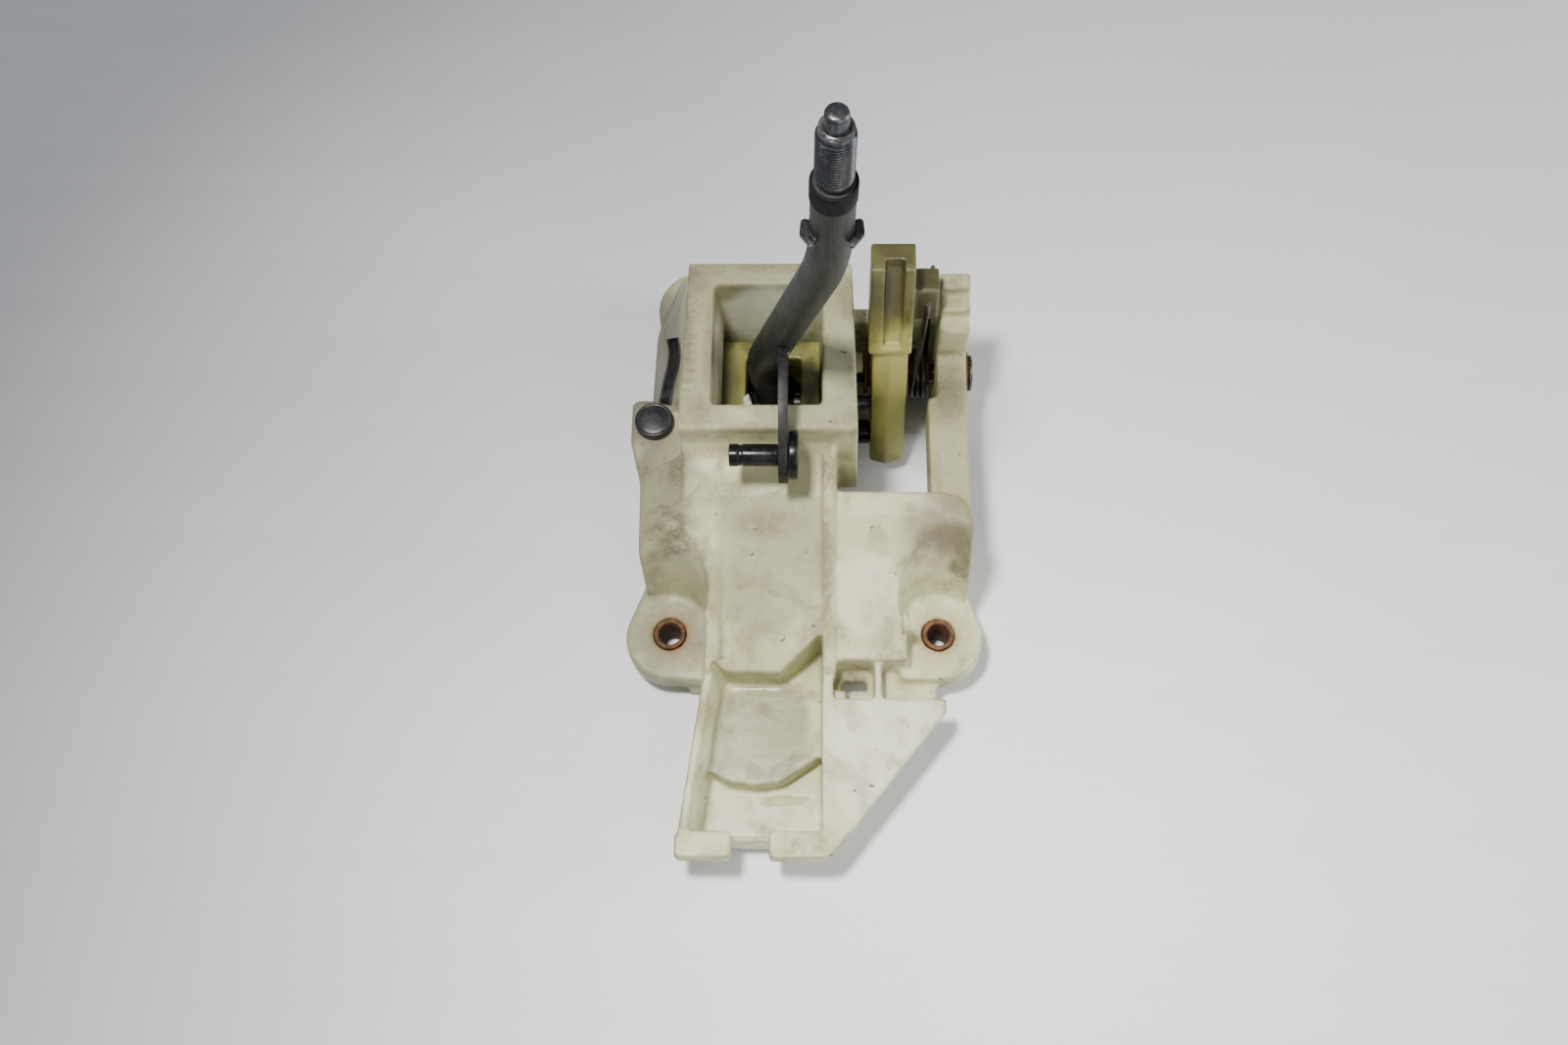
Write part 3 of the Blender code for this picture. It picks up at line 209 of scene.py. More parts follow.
class Look:
    """One procedural material. Places are in millimetres in the rest frame, so marks stay on the object."""

    def __init__(self, name, roughness=0.5, metallic=0.0, subsurface=0.0, coat=0.0, specular=0.5):
        self.material = bpy.data.materials.new(name)
        self.material.use_nodes = True
        self.tree = self.material.node_tree
        self.shader = self.tree.nodes["Principled BSDF"]
        self.shader.inputs["Roughness"].default_value = roughness
        self.shader.inputs["Metallic"].default_value = metallic
        self.shader.inputs["Specular IOR Level"].default_value = specular
        if subsurface:
            self.shader.inputs["Subsurface Weight"].default_value = subsurface
            self.shader.inputs["Subsurface Radius"].default_value = (1.0, 0.95, 0.55)
            self.shader.inputs["Subsurface Scale"].default_value = 0.0025
        if coat:
            self.shader.inputs["Coat Weight"].default_value = coat
            self.shader.inputs["Coat Roughness"].default_value = 0.15
        place = self.node("ShaderNodeTexCoord").outputs["Object"]
        self.place = self.vector("SCALE", place, scale=1000.0)

    def node(self, kind, inputs=None, **settings):
        made = self.tree.nodes.new(kind)
        for key, value in settings.items():
            setattr(made, key, value)
        for key, value in (inputs or {}).items():
            if isinstance(value, bpy.types.NodeSocket):
                self.tree.links.new(value, made.inputs[key])
            else:
                made.inputs[key].default_value = value
        return made

    def vector(self, operation, first, second=None, scale=None):
        inputs = {0: first}
        if second is not None:
            inputs[1] = second
        if scale is not None:
            inputs["Scale"] = scale
        made = self.node("ShaderNodeVectorMath", inputs, operation=operation)
        return made.outputs["Value" if operation in ("LENGTH", "DOT_PRODUCT") else "Vector"]

    def maths(self, operation, first, second=0.0, third=0.0):
        return self.node("ShaderNodeMath", {0: first, 1: second, 2: third}, operation=operation).outputs[0]

    def noise(self, size, detail=4.0, roughness=0.55, distortion=0.0, stretch=(1, 1, 1)):
        """Cloudy noise; size is that of one blob, in millimetres."""
        place = self.place if stretch == (1, 1, 1) else self.vector("MULTIPLY", self.place, stretch)
        inputs = {"Vector": place, "Scale": 1.0 / size, "Detail": detail, "Roughness": roughness}
        inputs["Distortion"] = distortion
        return self.node("ShaderNodeTexNoise", inputs).outputs[0]

    def ramp(self, value, low, high, to_low=0.0, to_high=1.0):
        inputs = {"Value": value, "From Min": low, "From Max": high, "To Min": to_low, "To Max": to_high}
        return self.node("ShaderNodeMapRange", inputs, interpolation_type="SMOOTHSTEP").outputs["Result"]

    def mix(self, factor, first, second, blend="MIX"):
        made = self.node("ShaderNodeMix", data_type="RGBA", blend_type=blend)
        for key, value in ((0, factor), (6, first), (7, second)):
            if isinstance(value, bpy.types.NodeSocket):
                self.tree.links.new(value, made.inputs[key])
            else:
                made.inputs[key].default_value = (*value, 1.0) if isinstance(value, tuple) else value
        return made.outputs[2]

    def ball(self, centre, radii, soft=0.6, wobble=None, strength=1.0):
        """1 inside an ellipsoid, fading to 0 at its edge; wobble breaks the edge up."""
        away = self.vector("SUBTRACT", self.place, centre)
        away = self.vector("DIVIDE", away, radii)
        distance = self.vector("LENGTH", away)
        if wobble is not None:
            distance = self.maths("ADD", distance, self.ramp(wobble, 0.2, 0.8, -0.45, 0.45))
        return self.ramp(distance, 1.0 - soft, 1.0, strength, 0.0)

    def most(self, *masks):
        found = masks[0]
        for mask in masks[1:]:
            found = self.maths("MAXIMUM", found, mask)
        return found

    def times(self, *masks):
        found = masks[0]
        for mask in masks[1:]:
            found = self.maths("MULTIPLY", found, mask)
        return found

    def edges(self, low=0.5, high=0.56):
        """1 on outer edges and corners."""
        return self.ramp(self.node("ShaderNodeNewGeometry").outputs["Pointiness"], low, high)

    def creases(self, low=0.44, high=0.5):
        """1 in inner corners."""
        return self.ramp(self.node("ShaderNodeNewGeometry").outputs["Pointiness"], low, high, 1.0, 0.0)

    def relief(self, *layers):
        """Bump layers, each (height, how far it stands up in millimetres)."""
        normal = None
        for height, depth in layers:
            inputs = {"Height": height, "Strength": 1.0, "Distance": depth * MM}
            if normal is not None:
                inputs["Normal"] = normal
            normal = self.node("ShaderNodeBump", inputs).outputs[0]
        self.tree.links.new(normal, self.shader.inputs["Normal"])

    def done(self, colour, roughness=None):
        self.tree.links.new(colour, self.shader.inputs["Base Color"])
        if roughness is not None:
            self.tree.links.new(roughness, self.shader.inputs["Roughness"])
        return self.material


def cream_and_painted_light(look):
    """The nylon's own colour, with painted light at the front, on the gusset, the right flank and inside the
    turret, and painted shade on the turret.
    """
    colour = look.mix(look.ramp(look.broad, 0.35, 0.65), CREAM_DEEP, CREAM)
    colour = look.mix(look.ramp(look.cloud, 0.40, 0.70, 0.0, 0.45), colour, CREAM_AGED)
    # Painted light: the front end, the gusset, the right flank and the turret's back wall are painted
    # lighter, as if lit by a pool of lamp light
    front_light_pool = look.ball((-14.0, -104.0, 14.0), (44.0, 30.0, 30.0), 0.5, look.broad)
    gusset = look.ball((34.0, -86.0, 28.0), (34.0, 40.0, 9.0), 0.4)
    flank = look.ball((24.0, -30.0, 44.0), (16.0, 26.0, 22.0), 0.5, look.broad)
    inner = look.ball((-14.0, 84.0, 62.0), (30.0, 9.0, 24.0), 0.5)
    colour = look.mix(look.times(look.most(front_light_pool, gusset, flank, inner), 0.7), colour, CREAM_PAINTED_LIGHT)

    # Painted shade darkens the turret; the left side, the trough's floor, the right block and the front-left
    # foot are painted darker too
    darkened = [
        look.ball((-14.0, 58.0, 84.0), (52.0, 50.0, 16.0), 0.35, look.broad, 0.85),
        look.ball((-60.0, -10.0, 30.0), (24.0, 62.0, 46.0), 0.35, look.broad, 1.0),
        look.ball((-16.0, -18.0, 54.0), (27.0, 44.0, 22.0), 0.35, look.broad, 0.60),
        look.ball((-14.0, -78.0, 15.0), (26.0, 22.0, 7.0), 0.3, look.broad, 1.0),
        look.ball((58.0, 10.0, 52.0), (16.0, 52.0, 26.0), 0.4, look.broad, 0.60),
        look.ball((-46.0, 4.0, 54.0), (15.0, 24.0, 18.0), 0.35, look.broad, 1.0),
        look.ball((-53.0, -38.0, 21.0), (21.0, 21.0, 10.0), 0.35, look.broad, 0.9),
    ]
    colour = look.mix(look.times(look.most(*darkened), 0.80), colour, CREAM_DARKENED)

    # Painted light: inside the turret the nylon is painted much lighter
    painted_light_walls = look.ball((-14.0, 62.0, 60.0), (27.5, 32.0, 34.0), 0.15)
    return look.mix(look.times(painted_light_walls, 0.80), colour, CREAM_PAINTED_LIGHT_INSIDE)


def thin_places_and_shade(look, colour):
    """The moulding looks greener where it is thin; painted shade darkens it low inside the turret, in the gap
    beside the crank and in the hollows behind the front bolts.
    """
    pocket_steps = look.ball((-14.0, -50.0, 20.0), (34.0, 13.0, 14.0), 0.45, look.cloud)
    front_step = look.ball((-14.0, -93.0, 9.0), (34.0, 9.0, 8.0), 0.45, look.cloud, 0.7)
    left_wall = look.ball((-37.5, -82.0, 19.0), (5.5, 44.0, 16.0), 0.5, None, 0.2)
    # Painted shade low inside the turret, in the gap beside the crank and behind the front bolts
    shadowed = look.ball((-14.0, 56.0, 34.0), (26.0, 31.0, 22.0), 0.3, look.cloud, 0.45)
    window = look.ball((22.0, 30.0, 30.0), (12.0, 40.0, 30.0), 0.6)
    scoops = [look.ball((side * 50.0, -24.0, 34.0), (16.0, 13.0, 18.0), 0.7, None, 0.5) for side in (-1, 1)]
    green = look.most(pocket_steps, front_step, left_wall, shadowed, window, *scoops)
    return look.mix(look.times(green, 0.75), colour, CREAM_THIN_AND_SHADE)


def dirt_and_crease_shade(look):
    """A mask: a thin brown film, darker patches, lines along the worn edges, and grime with painted shade in
    the inner corners.
    """
    film = look.ramp(look.cloud, 0.46, 0.72, 0.0, 0.62)
    patches = []
    for centre, radii, soft, wobble, strength in DIRT_PATCHES:
        patches.append(look.ball(centre, radii, soft, getattr(look, wobble), strength))
    dirt_and_shade = look.most(film, *patches)
    rim = look.times(look.edges(0.503, 0.555), look.ramp(look.cloud, 0.28, 0.58))
    # Grime and painted shade in the inner corners
    corner = look.times(look.creases(0.43, 0.495), look.ramp(look.brushed, 0.30, 0.65))
    dirt_and_shade = look.most(dirt_and_shade, look.times(rim, 0.95), look.times(corner, 0.95))
    broken = look.ramp(look.speck, 0.22, 0.60, 0.55, 1.0)
    faded = look.ramp(look.fine, 0.25, 0.60, 0.45, 1.0)
    dirt_and_shade = look.times(dirt_and_shade, broken, faded)
    inside = look.ball((-14.0, 58.0, 58.0), (34.0, 37.0, 40.0), 0.2)
    return look.times(dirt_and_shade, look.ramp(inside, 0.0, 1.0, 1.0, 0.35))


def stained(look, colour):
    """A stain, a grey-beige skirt and crayon marks on the sides."""
    # A solid brown stain lies over the right block
    stain = look.ball((51.0, -8.0, 56.0), (23.0, 18.0, 17.0), 0.75, look.broad)
    colour = look.mix(look.times(stain, look.ramp(look.fine, 0.2, 0.6, 0.7, 0.95)), colour, BLOCK_STAIN)

    # The skirt on the left is painted a dark grey-beige
    skirt = look.ball((-65.0, 76.0, 36.0), (24.0, 66.0, 60.0), 0.50)
    colour = look.mix(look.times(skirt, 0.85), colour, SKIRT_GREY)
    pink = look.noise(1.1, 2.0)
    for place in ((-60.0, 83.0, 45.0), (-58.5, 72.0, 45.0), (-58.5, 62.0, 45.0)):
        mark = look.ball(place, (3.0, 2.4, 4.0), 0.5, pink)
        colour = look.mix(look.times(mark, 0.5), colour, CRAYON_PINK)
    return colour


def rusted(look, colour):
    """Rust has run out of each bushing on to its foot."""
    rust = []
    for x, y in FEET:
        ring = look.ball((x, y, FOOT_TOP), (9.0, 9.0, 9.0), 0.34, look.speck, 0.8)
        run = look.ball((x + 1.5, y - 2.0, FOOT_TOP), (15.0, 14.0, 5.0), 0.9, look.cloud, 0.35)
        rust += [ring, run]
    return look.mix(look.times(look.most(*rust), 0.80), colour, RUST_RUN)


def oily(look):
    """A mask: oil lies in the pockets of the cable trough."""
    pools = [
        look.ball((-15.0, -59.5, 16.0), (22.0, 3.6, 3.0), 0.5, look.cloud),
        look.ball((-6.0, -101.5, 6.0), (14.0, 3.0, 3.0), 0.5, look.cloud),
        look.ball((-14.0, -78.0, 15.5), (24.0, 18.0, 2.0), 0.6, look.cloud, 0.6),
    ]
    return look.most(*pools)


def housing_look():
    """Cream nylon with painted light and shade, dirty, rusty round the bushings and oily in the trough."""
    look = Look("cream_nylon", subsurface=0.18, specular=0.4)
    look.broad = look.noise(46.0, 3.0)
    look.cloud = look.noise(13.0, 5.0, 0.62, 0.3)
    look.fine = look.noise(4.5, 5.0, 0.65, 0.2)
    look.speck = look.noise(1.6, 3.0, 0.6)
    look.brushed = look.noise(5.0, 4.0, 0.7, 0.2, (0.35, 1.6, 1.0))
    colour = thin_places_and_shade(look, cream_and_painted_light(look))
    dirt_and_shade = dirt_and_crease_shade(look)
    # Dirt, with painted shade in the inner corners
    colour = look.mix(look.times(dirt_and_shade, 0.90), colour, ROAD_DIRT_AND_SHADE)
    colour = rusted(look, stained(look, colour))

    # Loose specks of grit
    grit = look.ramp(look.noise(2.6, 2.0, 0.4), 0.72, 0.745)
    colour = look.mix(look.times(grit, look.ramp(look.cloud, 0.42, 0.58), 0.85), colour, GRIT)

    wet = oily(look)
    colour = look.mix(look.times(wet, 0.40), colour, OILY)
    roughness = look.ramp(look.cloud, 0.3, 0.7, 0.40, 0.56)
    roughness = look.maths("ADD", roughness, look.times(dirt_and_shade, 0.18))
    roughness = look.maths("SUBTRACT", roughness, look.times(wet, 0.34))
    look.relief((look.broad, 0.5), (look.brushed, 0.08), (look.speck, 0.035))
    return look.done(colour, look.maths("MAXIMUM", roughness, 0.1))


def green_look(name, seed_size, dirt_and_shade_balls=(), tints=()):
    """Olive nylon, a little translucent, with grease, scuffed pale edges, and grime with painted shade in the
    creases and listed places.
    """
    look = Look(name, subsurface=0.3, coat=0.15)
    broad = look.noise(seed_size, 3.0)
    cloud = look.noise(7.0, 5.0, 0.6, 0.3)
    speck = look.noise(0.9, 3.0, 0.6)
    streak = look.noise(3.0, 4.0, 0.6, 0.2, (1.0, 0.4, 0.4))
    colour = look.mix(look.ramp(broad, 0.35, 0.65), OLIVE_DEEP, OLIVE)
    colour = look.mix(look.ramp(cloud, 0.42, 0.72, 0.0, 0.7), colour, OLIVE_AGED)
    for centre, radii, strength, tint in tints:
        colour = look.mix(look.ball(centre, radii, 0.4, None, strength), colour, tint)
    pale = look.times(look.edges(0.52, 0.60), look.ramp(speck, 0.3, 0.6))
    colour = look.mix(look.times(pale, 0.40), colour, OLIVE_SCUFFED)
    # Grime and painted shade in the creases
    crease_grime_and_shade = look.times(look.creases(0.40, 0.49), look.ramp(streak, 0.3, 0.6))
    masks = [look.times(crease_grime_and_shade, 0.8), look.ramp(streak, 0.60, 0.78, 0.0, 0.5)]
    masks += [look.ball(centre, radii, 0.8, cloud, strength) for centre, radii, strength in dirt_and_shade_balls]
    dirt_and_shade = look.most(*masks)
    colour = look.mix(look.times(dirt_and_shade, 0.75), colour, OLIVE_GRIME_AND_SHADE)
    roughness = look.ramp(cloud, 0.3, 0.7, 0.28, 0.46)
    look.relief((broad, 0.3), (streak, 0.05), (speck, 0.03))
    return look.done(colour, roughness)


def steel_look(
    name, dark, light, roughness=(0.32, 0.5), metallic=0.75, worn=0.5, along=(1, 1, 0.12), dust=0.25,
    specular=0.3
):
    """Dark steel with drawn streaks, a film of dust and bright worn edges."""
    look = Look(name, metallic=metallic, specular=specular)
    streak = look.noise(1.1, 4.0, 0.6, 0.0, along)
    cloud = look.noise(9.0, 5.0, 0.6, 0.4)
    speck = look.noise(0.7, 3.0, 0.7)
    colour = look.mix(look.ramp(streak, 0.3, 0.7), dark, light)
    colour = look.mix(look.ramp(cloud, 0.45, 0.75, 0.0, dust), colour, STEEL_DUST)
    bright = look.times(look.edges(0.52, 0.60), look.ramp(speck, 0.35, 0.60), worn)
    colour = look.mix(bright, colour, STEEL_WORN)
    roughness = look.ramp(cloud, 0.3, 0.7, *roughness)
    look.relief((streak, 0.02), (cloud, 0.04), (speck, 0.02))
    return look.done(colour, roughness)


def rust_look(name, orange=0.5):
    """Brown rust with orange grains."""
    look = Look(name, metallic=0.15)
    cloud = look.noise(3.0, 6.0, 0.65, 0.5)
    grain = look.noise(0.5, 4.0, 0.7)
    colour = look.mix(look.ramp(cloud, 0.35, 0.65), RUST_DARK, RUST_BROWN)
    colour = look.mix(look.ramp(grain, 0.50, 0.72, 0.0, orange), colour, RUST_ORANGE)
    look.relief((cloud, 0.12), (grain, 0.06))
    return look.done(colour, look.ramp(grain, 0.3, 0.7, 0.62, 0.9))


def black_look(name, base=BLACK, roughness=(0.30, 0.5), dust=0.35, grain=0.9, specular=0.5):
    """Black plastic or rubber with grey dust in its grain."""
    look = Look(name, specular=specular)
    cloud = look.noise(5.0, 5.0, 0.6, 0.3)
    fine = look.noise(grain, 3.0, 0.6)
    dusty = look.times(look.ramp(cloud, 0.45, 0.75, 0.0, dust), look.ramp(fine, 0.35, 0.65))
    colour = look.mix(dusty, base, BLACK_DUST)
    look.relief((cloud, 0.05), (fine, 0.03))
    return look.done(colour, look.ramp(cloud, 0.3, 0.7, *roughness))


def grease_look():
    """Old grease, pale and wet."""
    look = Look("old_grease", roughness=0.22, subsurface=0.5, coat=0.4)
    cloud = look.noise(2.2, 5.0, 0.6, 0.5)
    colour = look.mix(look.ramp(cloud, 0.35, 0.65), GREASE_DARK, GREASE_PALE)
    look.relief((cloud, 0.3))
    return look.done(colour, look.ramp(cloud, 0.3, 0.7, 0.15, 0.35))


def floor_look():
    """A pale board with faint brushed streaks along X."""
    look = Look("pale_board", specular=0.3)
    broad = look.noise(420.0, 3.0)
    brushed = look.noise(30.0, 4.0, 0.6, 0.0, (0.12, 2.0, 1.0))
    colour = look.mix(look.ramp(broad, 0.35, 0.65), BOARD_DEEP, BOARD)
    colour = look.mix(look.ramp(brushed, 0.40, 0.70, 0.0, 0.20), colour, BOARD_STREAK)
    look.relief((brushed, 0.05))
    return look.done(colour, look.ramp(broad, 0.3, 0.7, 0.42, 0.52))


# ---------------------------------------------------------------- mesh tools


def link(name, mesh):
    item = bpy.data.objects.new(name, mesh)
    bpy.context.scene.collection.objects.link(item)
    return item


def mesh_object(name, points, faces, sharp=35.0):
    """An object from points in millimetres."""
    mesh = bpy.data.meshes.new(name)
    mesh.from_pydata([tuple(v) for v in np.asarray(points, float) * MM], [], faces)
    shape = bmesh.new()
    shape.from_mesh(mesh)
    bmesh.ops.recalc_face_normals(shape, faces=shape.faces)
    shape.to_mesh(mesh)
    shape.free()
    mesh.shade_smooth()
    mesh.set_sharp_from_angle(angle=math.radians(sharp))
    return link(name, mesh)


def apply_modifiers(item):
    graph = bpy.context.evaluated_depsgraph_get()
    item.data = bpy.data.meshes.new_from_object(item.evaluated_get(graph))
    item.modifiers.clear()
    return item


def dress(item, look, body, slot, *nodes):
    item.data.materials.clear()
    item.data.materials.append(look)
    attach(item, body)
    if nodes:
        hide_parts(*nodes)
    return item


def smoothed(points, edges, rounds, weight):
    """Pulls each point towards the middle of its neighbours, as far as its weight says."""
    count = len(points)
    first, second = edges[:, 0], edges[:, 1]
    degree = np.bincount(first, minlength=count) + np.bincount(second, minlength=count)
    degree = np.maximum(degree, 1)[:, None]
    for _ in range(rounds):
        total = np.empty_like(points)
        for axis in range(3):
            total[:, axis] = np.bincount(first, points[second, axis], count)
            total[:, axis] += np.bincount(second, points[first, axis], count)
        points = points + weight[:, None] * (total / degree - points)
    return points


def moulded(name, source, voxel, rounds, weigh=None, ratio=1.0):
    """A copy of a CAD node's shape, with the rounded edges and corners of a moulding."""
    item = link(name, source.data.copy())
    item.data.materials.clear()
    step = item.modifiers.new("voxels", "REMESH")
    step.mode = "VOXEL"
    step.voxel_size = voxel * MM
    apply_modifiers(item)
    mesh = item.data
    points = np.empty(len(mesh.vertices) * 3)
    mesh.vertices.foreach_get("co", points)
    points = points.reshape(-1, 3)
    edges = np.empty(len(mesh.edges) * 2, np.int64)
    mesh.edges.foreach_get("vertices", edges)
    weight = np.full(len(points), 0.5)
    if weigh is not None:
        weight *= weigh(points / MM)
    points = smoothed(points, edges.reshape(-1, 2), rounds, weight)
    mesh.vertices.foreach_set("co", points.ravel())
    mesh.update()
    if ratio < 1.0:
        step = item.modifiers.new("fewer", "DECIMATE")
        step.ratio = ratio
        apply_modifiers(item)
    item.data.shade_smooth()
    return item


def bevelled(name, source, width, segments=2, angle=28.0):
    """A copy of a CAD node's shape with small rounded edges, for sheet metal and turned pieces."""
    item = link(name, source.data.copy())
    item.data.materials.clear()
    shape = bmesh.new()
    shape.from_mesh(item.data)
    bmesh.ops.remove_doubles(shape, verts=shape.verts, dist=1e-6)
    bmesh.ops.dissolve_limit(shape, angle_limit=math.radians(1.0), verts=shape.verts, edges=shape.edges)
    shape.to_mesh(item.data)
    shape.free()
    step = item.modifiers.new("edges", "BEVEL")
    step.width = width * MM
    step.segments = segments
    step.limit_method = "ANGLE"
    step.angle_limit = math.radians(angle)
    apply_modifiers(item)
    item.data.shade_smooth()
    item.data.set_sharp_from_angle(angle=math.radians(40))
    return item


def path_frames(points):
    """Directions along and across a path, turning as little as possible."""
    points = np.asarray(points, float)
    along = np.gradient(points, axis=0)
    along /= np.linalg.norm(along, axis=1)[:, None]
    guide = np.cross(along[0], (0.0, 0.0, 1.0))
    if np.linalg.norm(guide) < 0.1:
        guide = np.cross(along[0], (0.0, 1.0, 0.0))
    sides = []
    for direction in along:
        guide = guide - direction * guide.dot(direction)
        guide /= np.linalg.norm(guide)
        sides.append(guide)
    sides = np.array(sides)
    return points, along, sides, np.cross(along, sides)


def swept(name, points, radii, count=32, sharp=35.0):
    """A round bar along a path; radii is one number, or one for each point, or rings by angle."""
    points, _, side, other = path_frames(points)
    radii = np.asarray(radii, float)
    if radii.ndim == 0:
        radii = np.full((len(points), count), float(radii))
    elif radii.ndim == 1:
        radii = np.repeat(radii[:, None], count, axis=1)
    turn = np.linspace(0, 2 * math.pi, count, endpoint=False)
    rings = points[:, None] + radii[:, :, None] * (
        side[:, None] * np.cos(turn)[None, :, None] + other[:, None] * np.sin(turn)[None, :, None]
    )
    return skinned(name, rings, sharp)


def skinned(name, rings, sharp=35.0):
    """A closed skin over rings of points, with a fan of faces at each end."""
    rows, count = rings.shape[:2]
    points = list(rings.reshape(-1, 3)) + [rings[0].mean(0), rings[-1].mean(0)]
    faces = []
    for i in range(rows - 1):
        for j in range(count):
            k = (j + 1) % count
            faces.append((i * count + j, i * count + k, (i + 1) * count + k, (i + 1) * count + j))
    for row, tip in ((0, rows * count), (rows - 1, rows * count + 1)):
        for j in range(count):
            faces.append((row * count + j, row * count + (j + 1) % count, tip))
    return mesh_object(name, points, faces, sharp)


def turned(name, profile, start, end, count=64, sharp=35.0):
    """A turned solid: (distance along, radius) pairs; a bored one comes back along its bore."""
    start = Vector(start)
    axis = (Vector(end) - start).normalized()
    side = axis.orthogonal().normalized()
    other = axis.cross(side)
    turn = [2 * math.pi * j / count for j in range(count)]
    spokes = np.array([side * math.cos(t) + other * math.sin(t) for t in turn])
    rings = np.array([np.array(start + axis * along) + spokes * radius for along, radius in profile])
    if profile[0][1] == 0:
        return skinned(name, rings[1:-1], sharp)
    rows = len(profile)
    faces = []
    for i in range(rows):
        for j in range(count):
            k, after = (j + 1) % count, (i + 1) % rows
            faces.append((i * count + j, i * count + k, after * count + k, after * count + j))
    return mesh_object(name, rings.reshape(-1, 3), faces, sharp)


def rounded(profile, radius, steps=3):
    """Rounds the corners of a profile of (along, radius) pairs, apart from those on the axis."""
    closed = profile[0][1] != 0
    made = []
    count = len(profile)
    for i, (along, away) in enumerate(profile):
        if not closed and i in (0, count - 1):
            made.append((along, away))
            continue
        corner = Vector((along, away))
        before = Vector(profile[i - 1])
        after = Vector(profile[(i + 1) % count])
        reach = min(radius, (before - corner).length * 0.45, (after - corner).length * 0.45)
        first = corner + (before - corner).normalized() * reach
        last = corner + (after - corner).normalized() * reach
        for step in range(steps + 1):
            t = step / steps
            made.append(tuple(first * (1 - t) ** 2 + corner * 2 * t * (1 - t) + last * t * t))
    return made


def bend(before, corner, after, reach, steps):
    first = corner + (before - corner).normalized() * reach
    last = corner + (after - corner).normalized() * reach
    made = []
    for i in range(steps + 1):
        t = i / steps
        made.append(first * (1 - t) ** 2 + corner * 2 * t * (1 - t) + last * t * t)
    return made


def filled(points, spacing):
    """The path with extra points, so that none are further apart than the spacing."""
    made = [Vector(points[0])]
    for point in points[1:]:
        start, end = made[-1], Vector(point)
        count = max(1, math.ceil((end - start).length / spacing))
        made += [start.lerp(end, i / count) for i in range(1, count + 1)]
    return made


# ---------------------------------------------------------------- pieces


def soft_zone(points, centre, half, fade):
    """1 inside a box, falling to 0 over the fade distance outside it."""
    away = np.abs(points - np.array(centre)) - np.array(half)
    distance = np.linalg.norm(np.maximum(away, 0), axis=1)
    return np.clip(1 - distance / fade, 0, 1)


def housing_weight(points):
    """Blunt where the moulding has big radii, crisp round the cable trough."""
    weight = np.full(len(points), 0.45)
    for centre, half, fade in (
        ((52.0, -12.0, 40.0), (14.0, 20.0, 26.0), 6.0),
        ((-52.0, -2.0, 40.0), (14.0, 24.0, 22.0), 8.0),
        ((-14.0, 20.0, 68.0), (34.0, 4.0, 5.0), 4.0),
        ((0.0, -38.0, 18.0), (71.0, 22.0, 6.0), 3.0),
    ):
        weight = np.maximum(weight, soft_zone(points, centre, half, fade))
    crisp = soft_zone(points, (-14.0, -92.0, 18.0), (30.0, 30.0, 14.0), 4.0)
    return weight * (1 - 0.75 * crisp)


def make_housing(look):
    """A moulded copy of the housing, with rounded edges and corners."""
    voxel = 0.75
    item = moulded("housing_moulding", NODES["base_housing"], voxel, 14, housing_weight, 0.45)
    dress(item, look, "base", "cream_nylon", "base_housing")


def make_bushings(look):
    profile = [(0.0, LIMITER_BORE_RADIUS), (0.0, LIMITER_RADIUS)]
    profile += [(LIMITER_HEIGHT, LIMITER_RADIUS), (LIMITER_HEIGHT, LIMITER_BORE_RADIUS)]
    for name, (x, y) in zip(FEET_NAMES, FEET):
        item = turned(name + "_limiter", rounded(profile, 0.7, 4), (x, y, 0.0), (x, y, 1.0), 72)
        dress(item, look, "base", "rusty_steel", name + "_bushing")


def make_bar(steel):
    shank_top = LEVER_TOP - ALONG_TOP * STUD_LENGTH
    path = [PIVOT + Vector((0, 0, 3.0))]
    path += bend(PIVOT, LOWER_BEND, UPPER_BEND, 8.0, 10)
    path += bend(LOWER_BEND, UPPER_BEND, LEVER_TOP, 20.0, 18)
    path += [shank_top - ALONG_TOP * 0.6, shank_top]
    path = filled(path, 4.0)
    radii = np.full(len(path), BAR_RADIUS)
    radii[-1] = BAR_NECK_RADIUS
    radii[-2] = BAR_RADIUS - 0.1
    dress(swept("lever_bar", path, radii, BAR_COUNT), steel, "lever", "lever_steel", "lever_rod")


def make_stud(bright):
    """The knob's thread as one helix, with a plain pilot above it."""
    shank_top = LEVER_TOP - ALONG_TOP * STUD_LENGTH
    thread_length = STUD_LENGTH - PILOT_LENGTH
    rows = np.arange(-3.0, thread_length, THREAD_PITCH / 8)
    turn = np.linspace(0, 2 * math.pi, THREAD_COUNT, endpoint=False)
    wave = (rows[:, None] / THREAD_PITCH - turn[None, :] / (2 * math.pi)) % 1.0
    tooth = 1 - np.abs(2 * wave - 1)
    fade = np.clip((thread_length - 1.6 - rows) / 1.2, 0, 1) * np.clip((rows - 1.0) / 2.0, 0, 1)
    lift = THREAD_DEPTH * np.clip(tooth * 1.25, 0, 1) * fade[:, None]
    radii = THREAD_CREST - THREAD_DEPTH + lift
    places = [shank_top + ALONG_TOP * float(row) for row in rows]
    ends = [(thread_length - 0.9, 5.25), (thread_length, 4.1), (thread_length + 0.1, 3.7)]
    ends += [(STUD_LENGTH - 1.2, 3.6), (STUD_LENGTH - 0.6, 3.4)]
    ends += [(STUD_LENGTH - 0.05, 2.7), (STUD_LENGTH, 1.2)]
    for along, radius in ends:
        places.append(shank_top + ALONG_TOP * along)
        radii = np.vstack([radii, np.full(THREAD_COUNT, radius)])
    dress(swept("knob_stud", places, radii, THREAD_COUNT, 50.0), bright, "lever", "lever_steel")


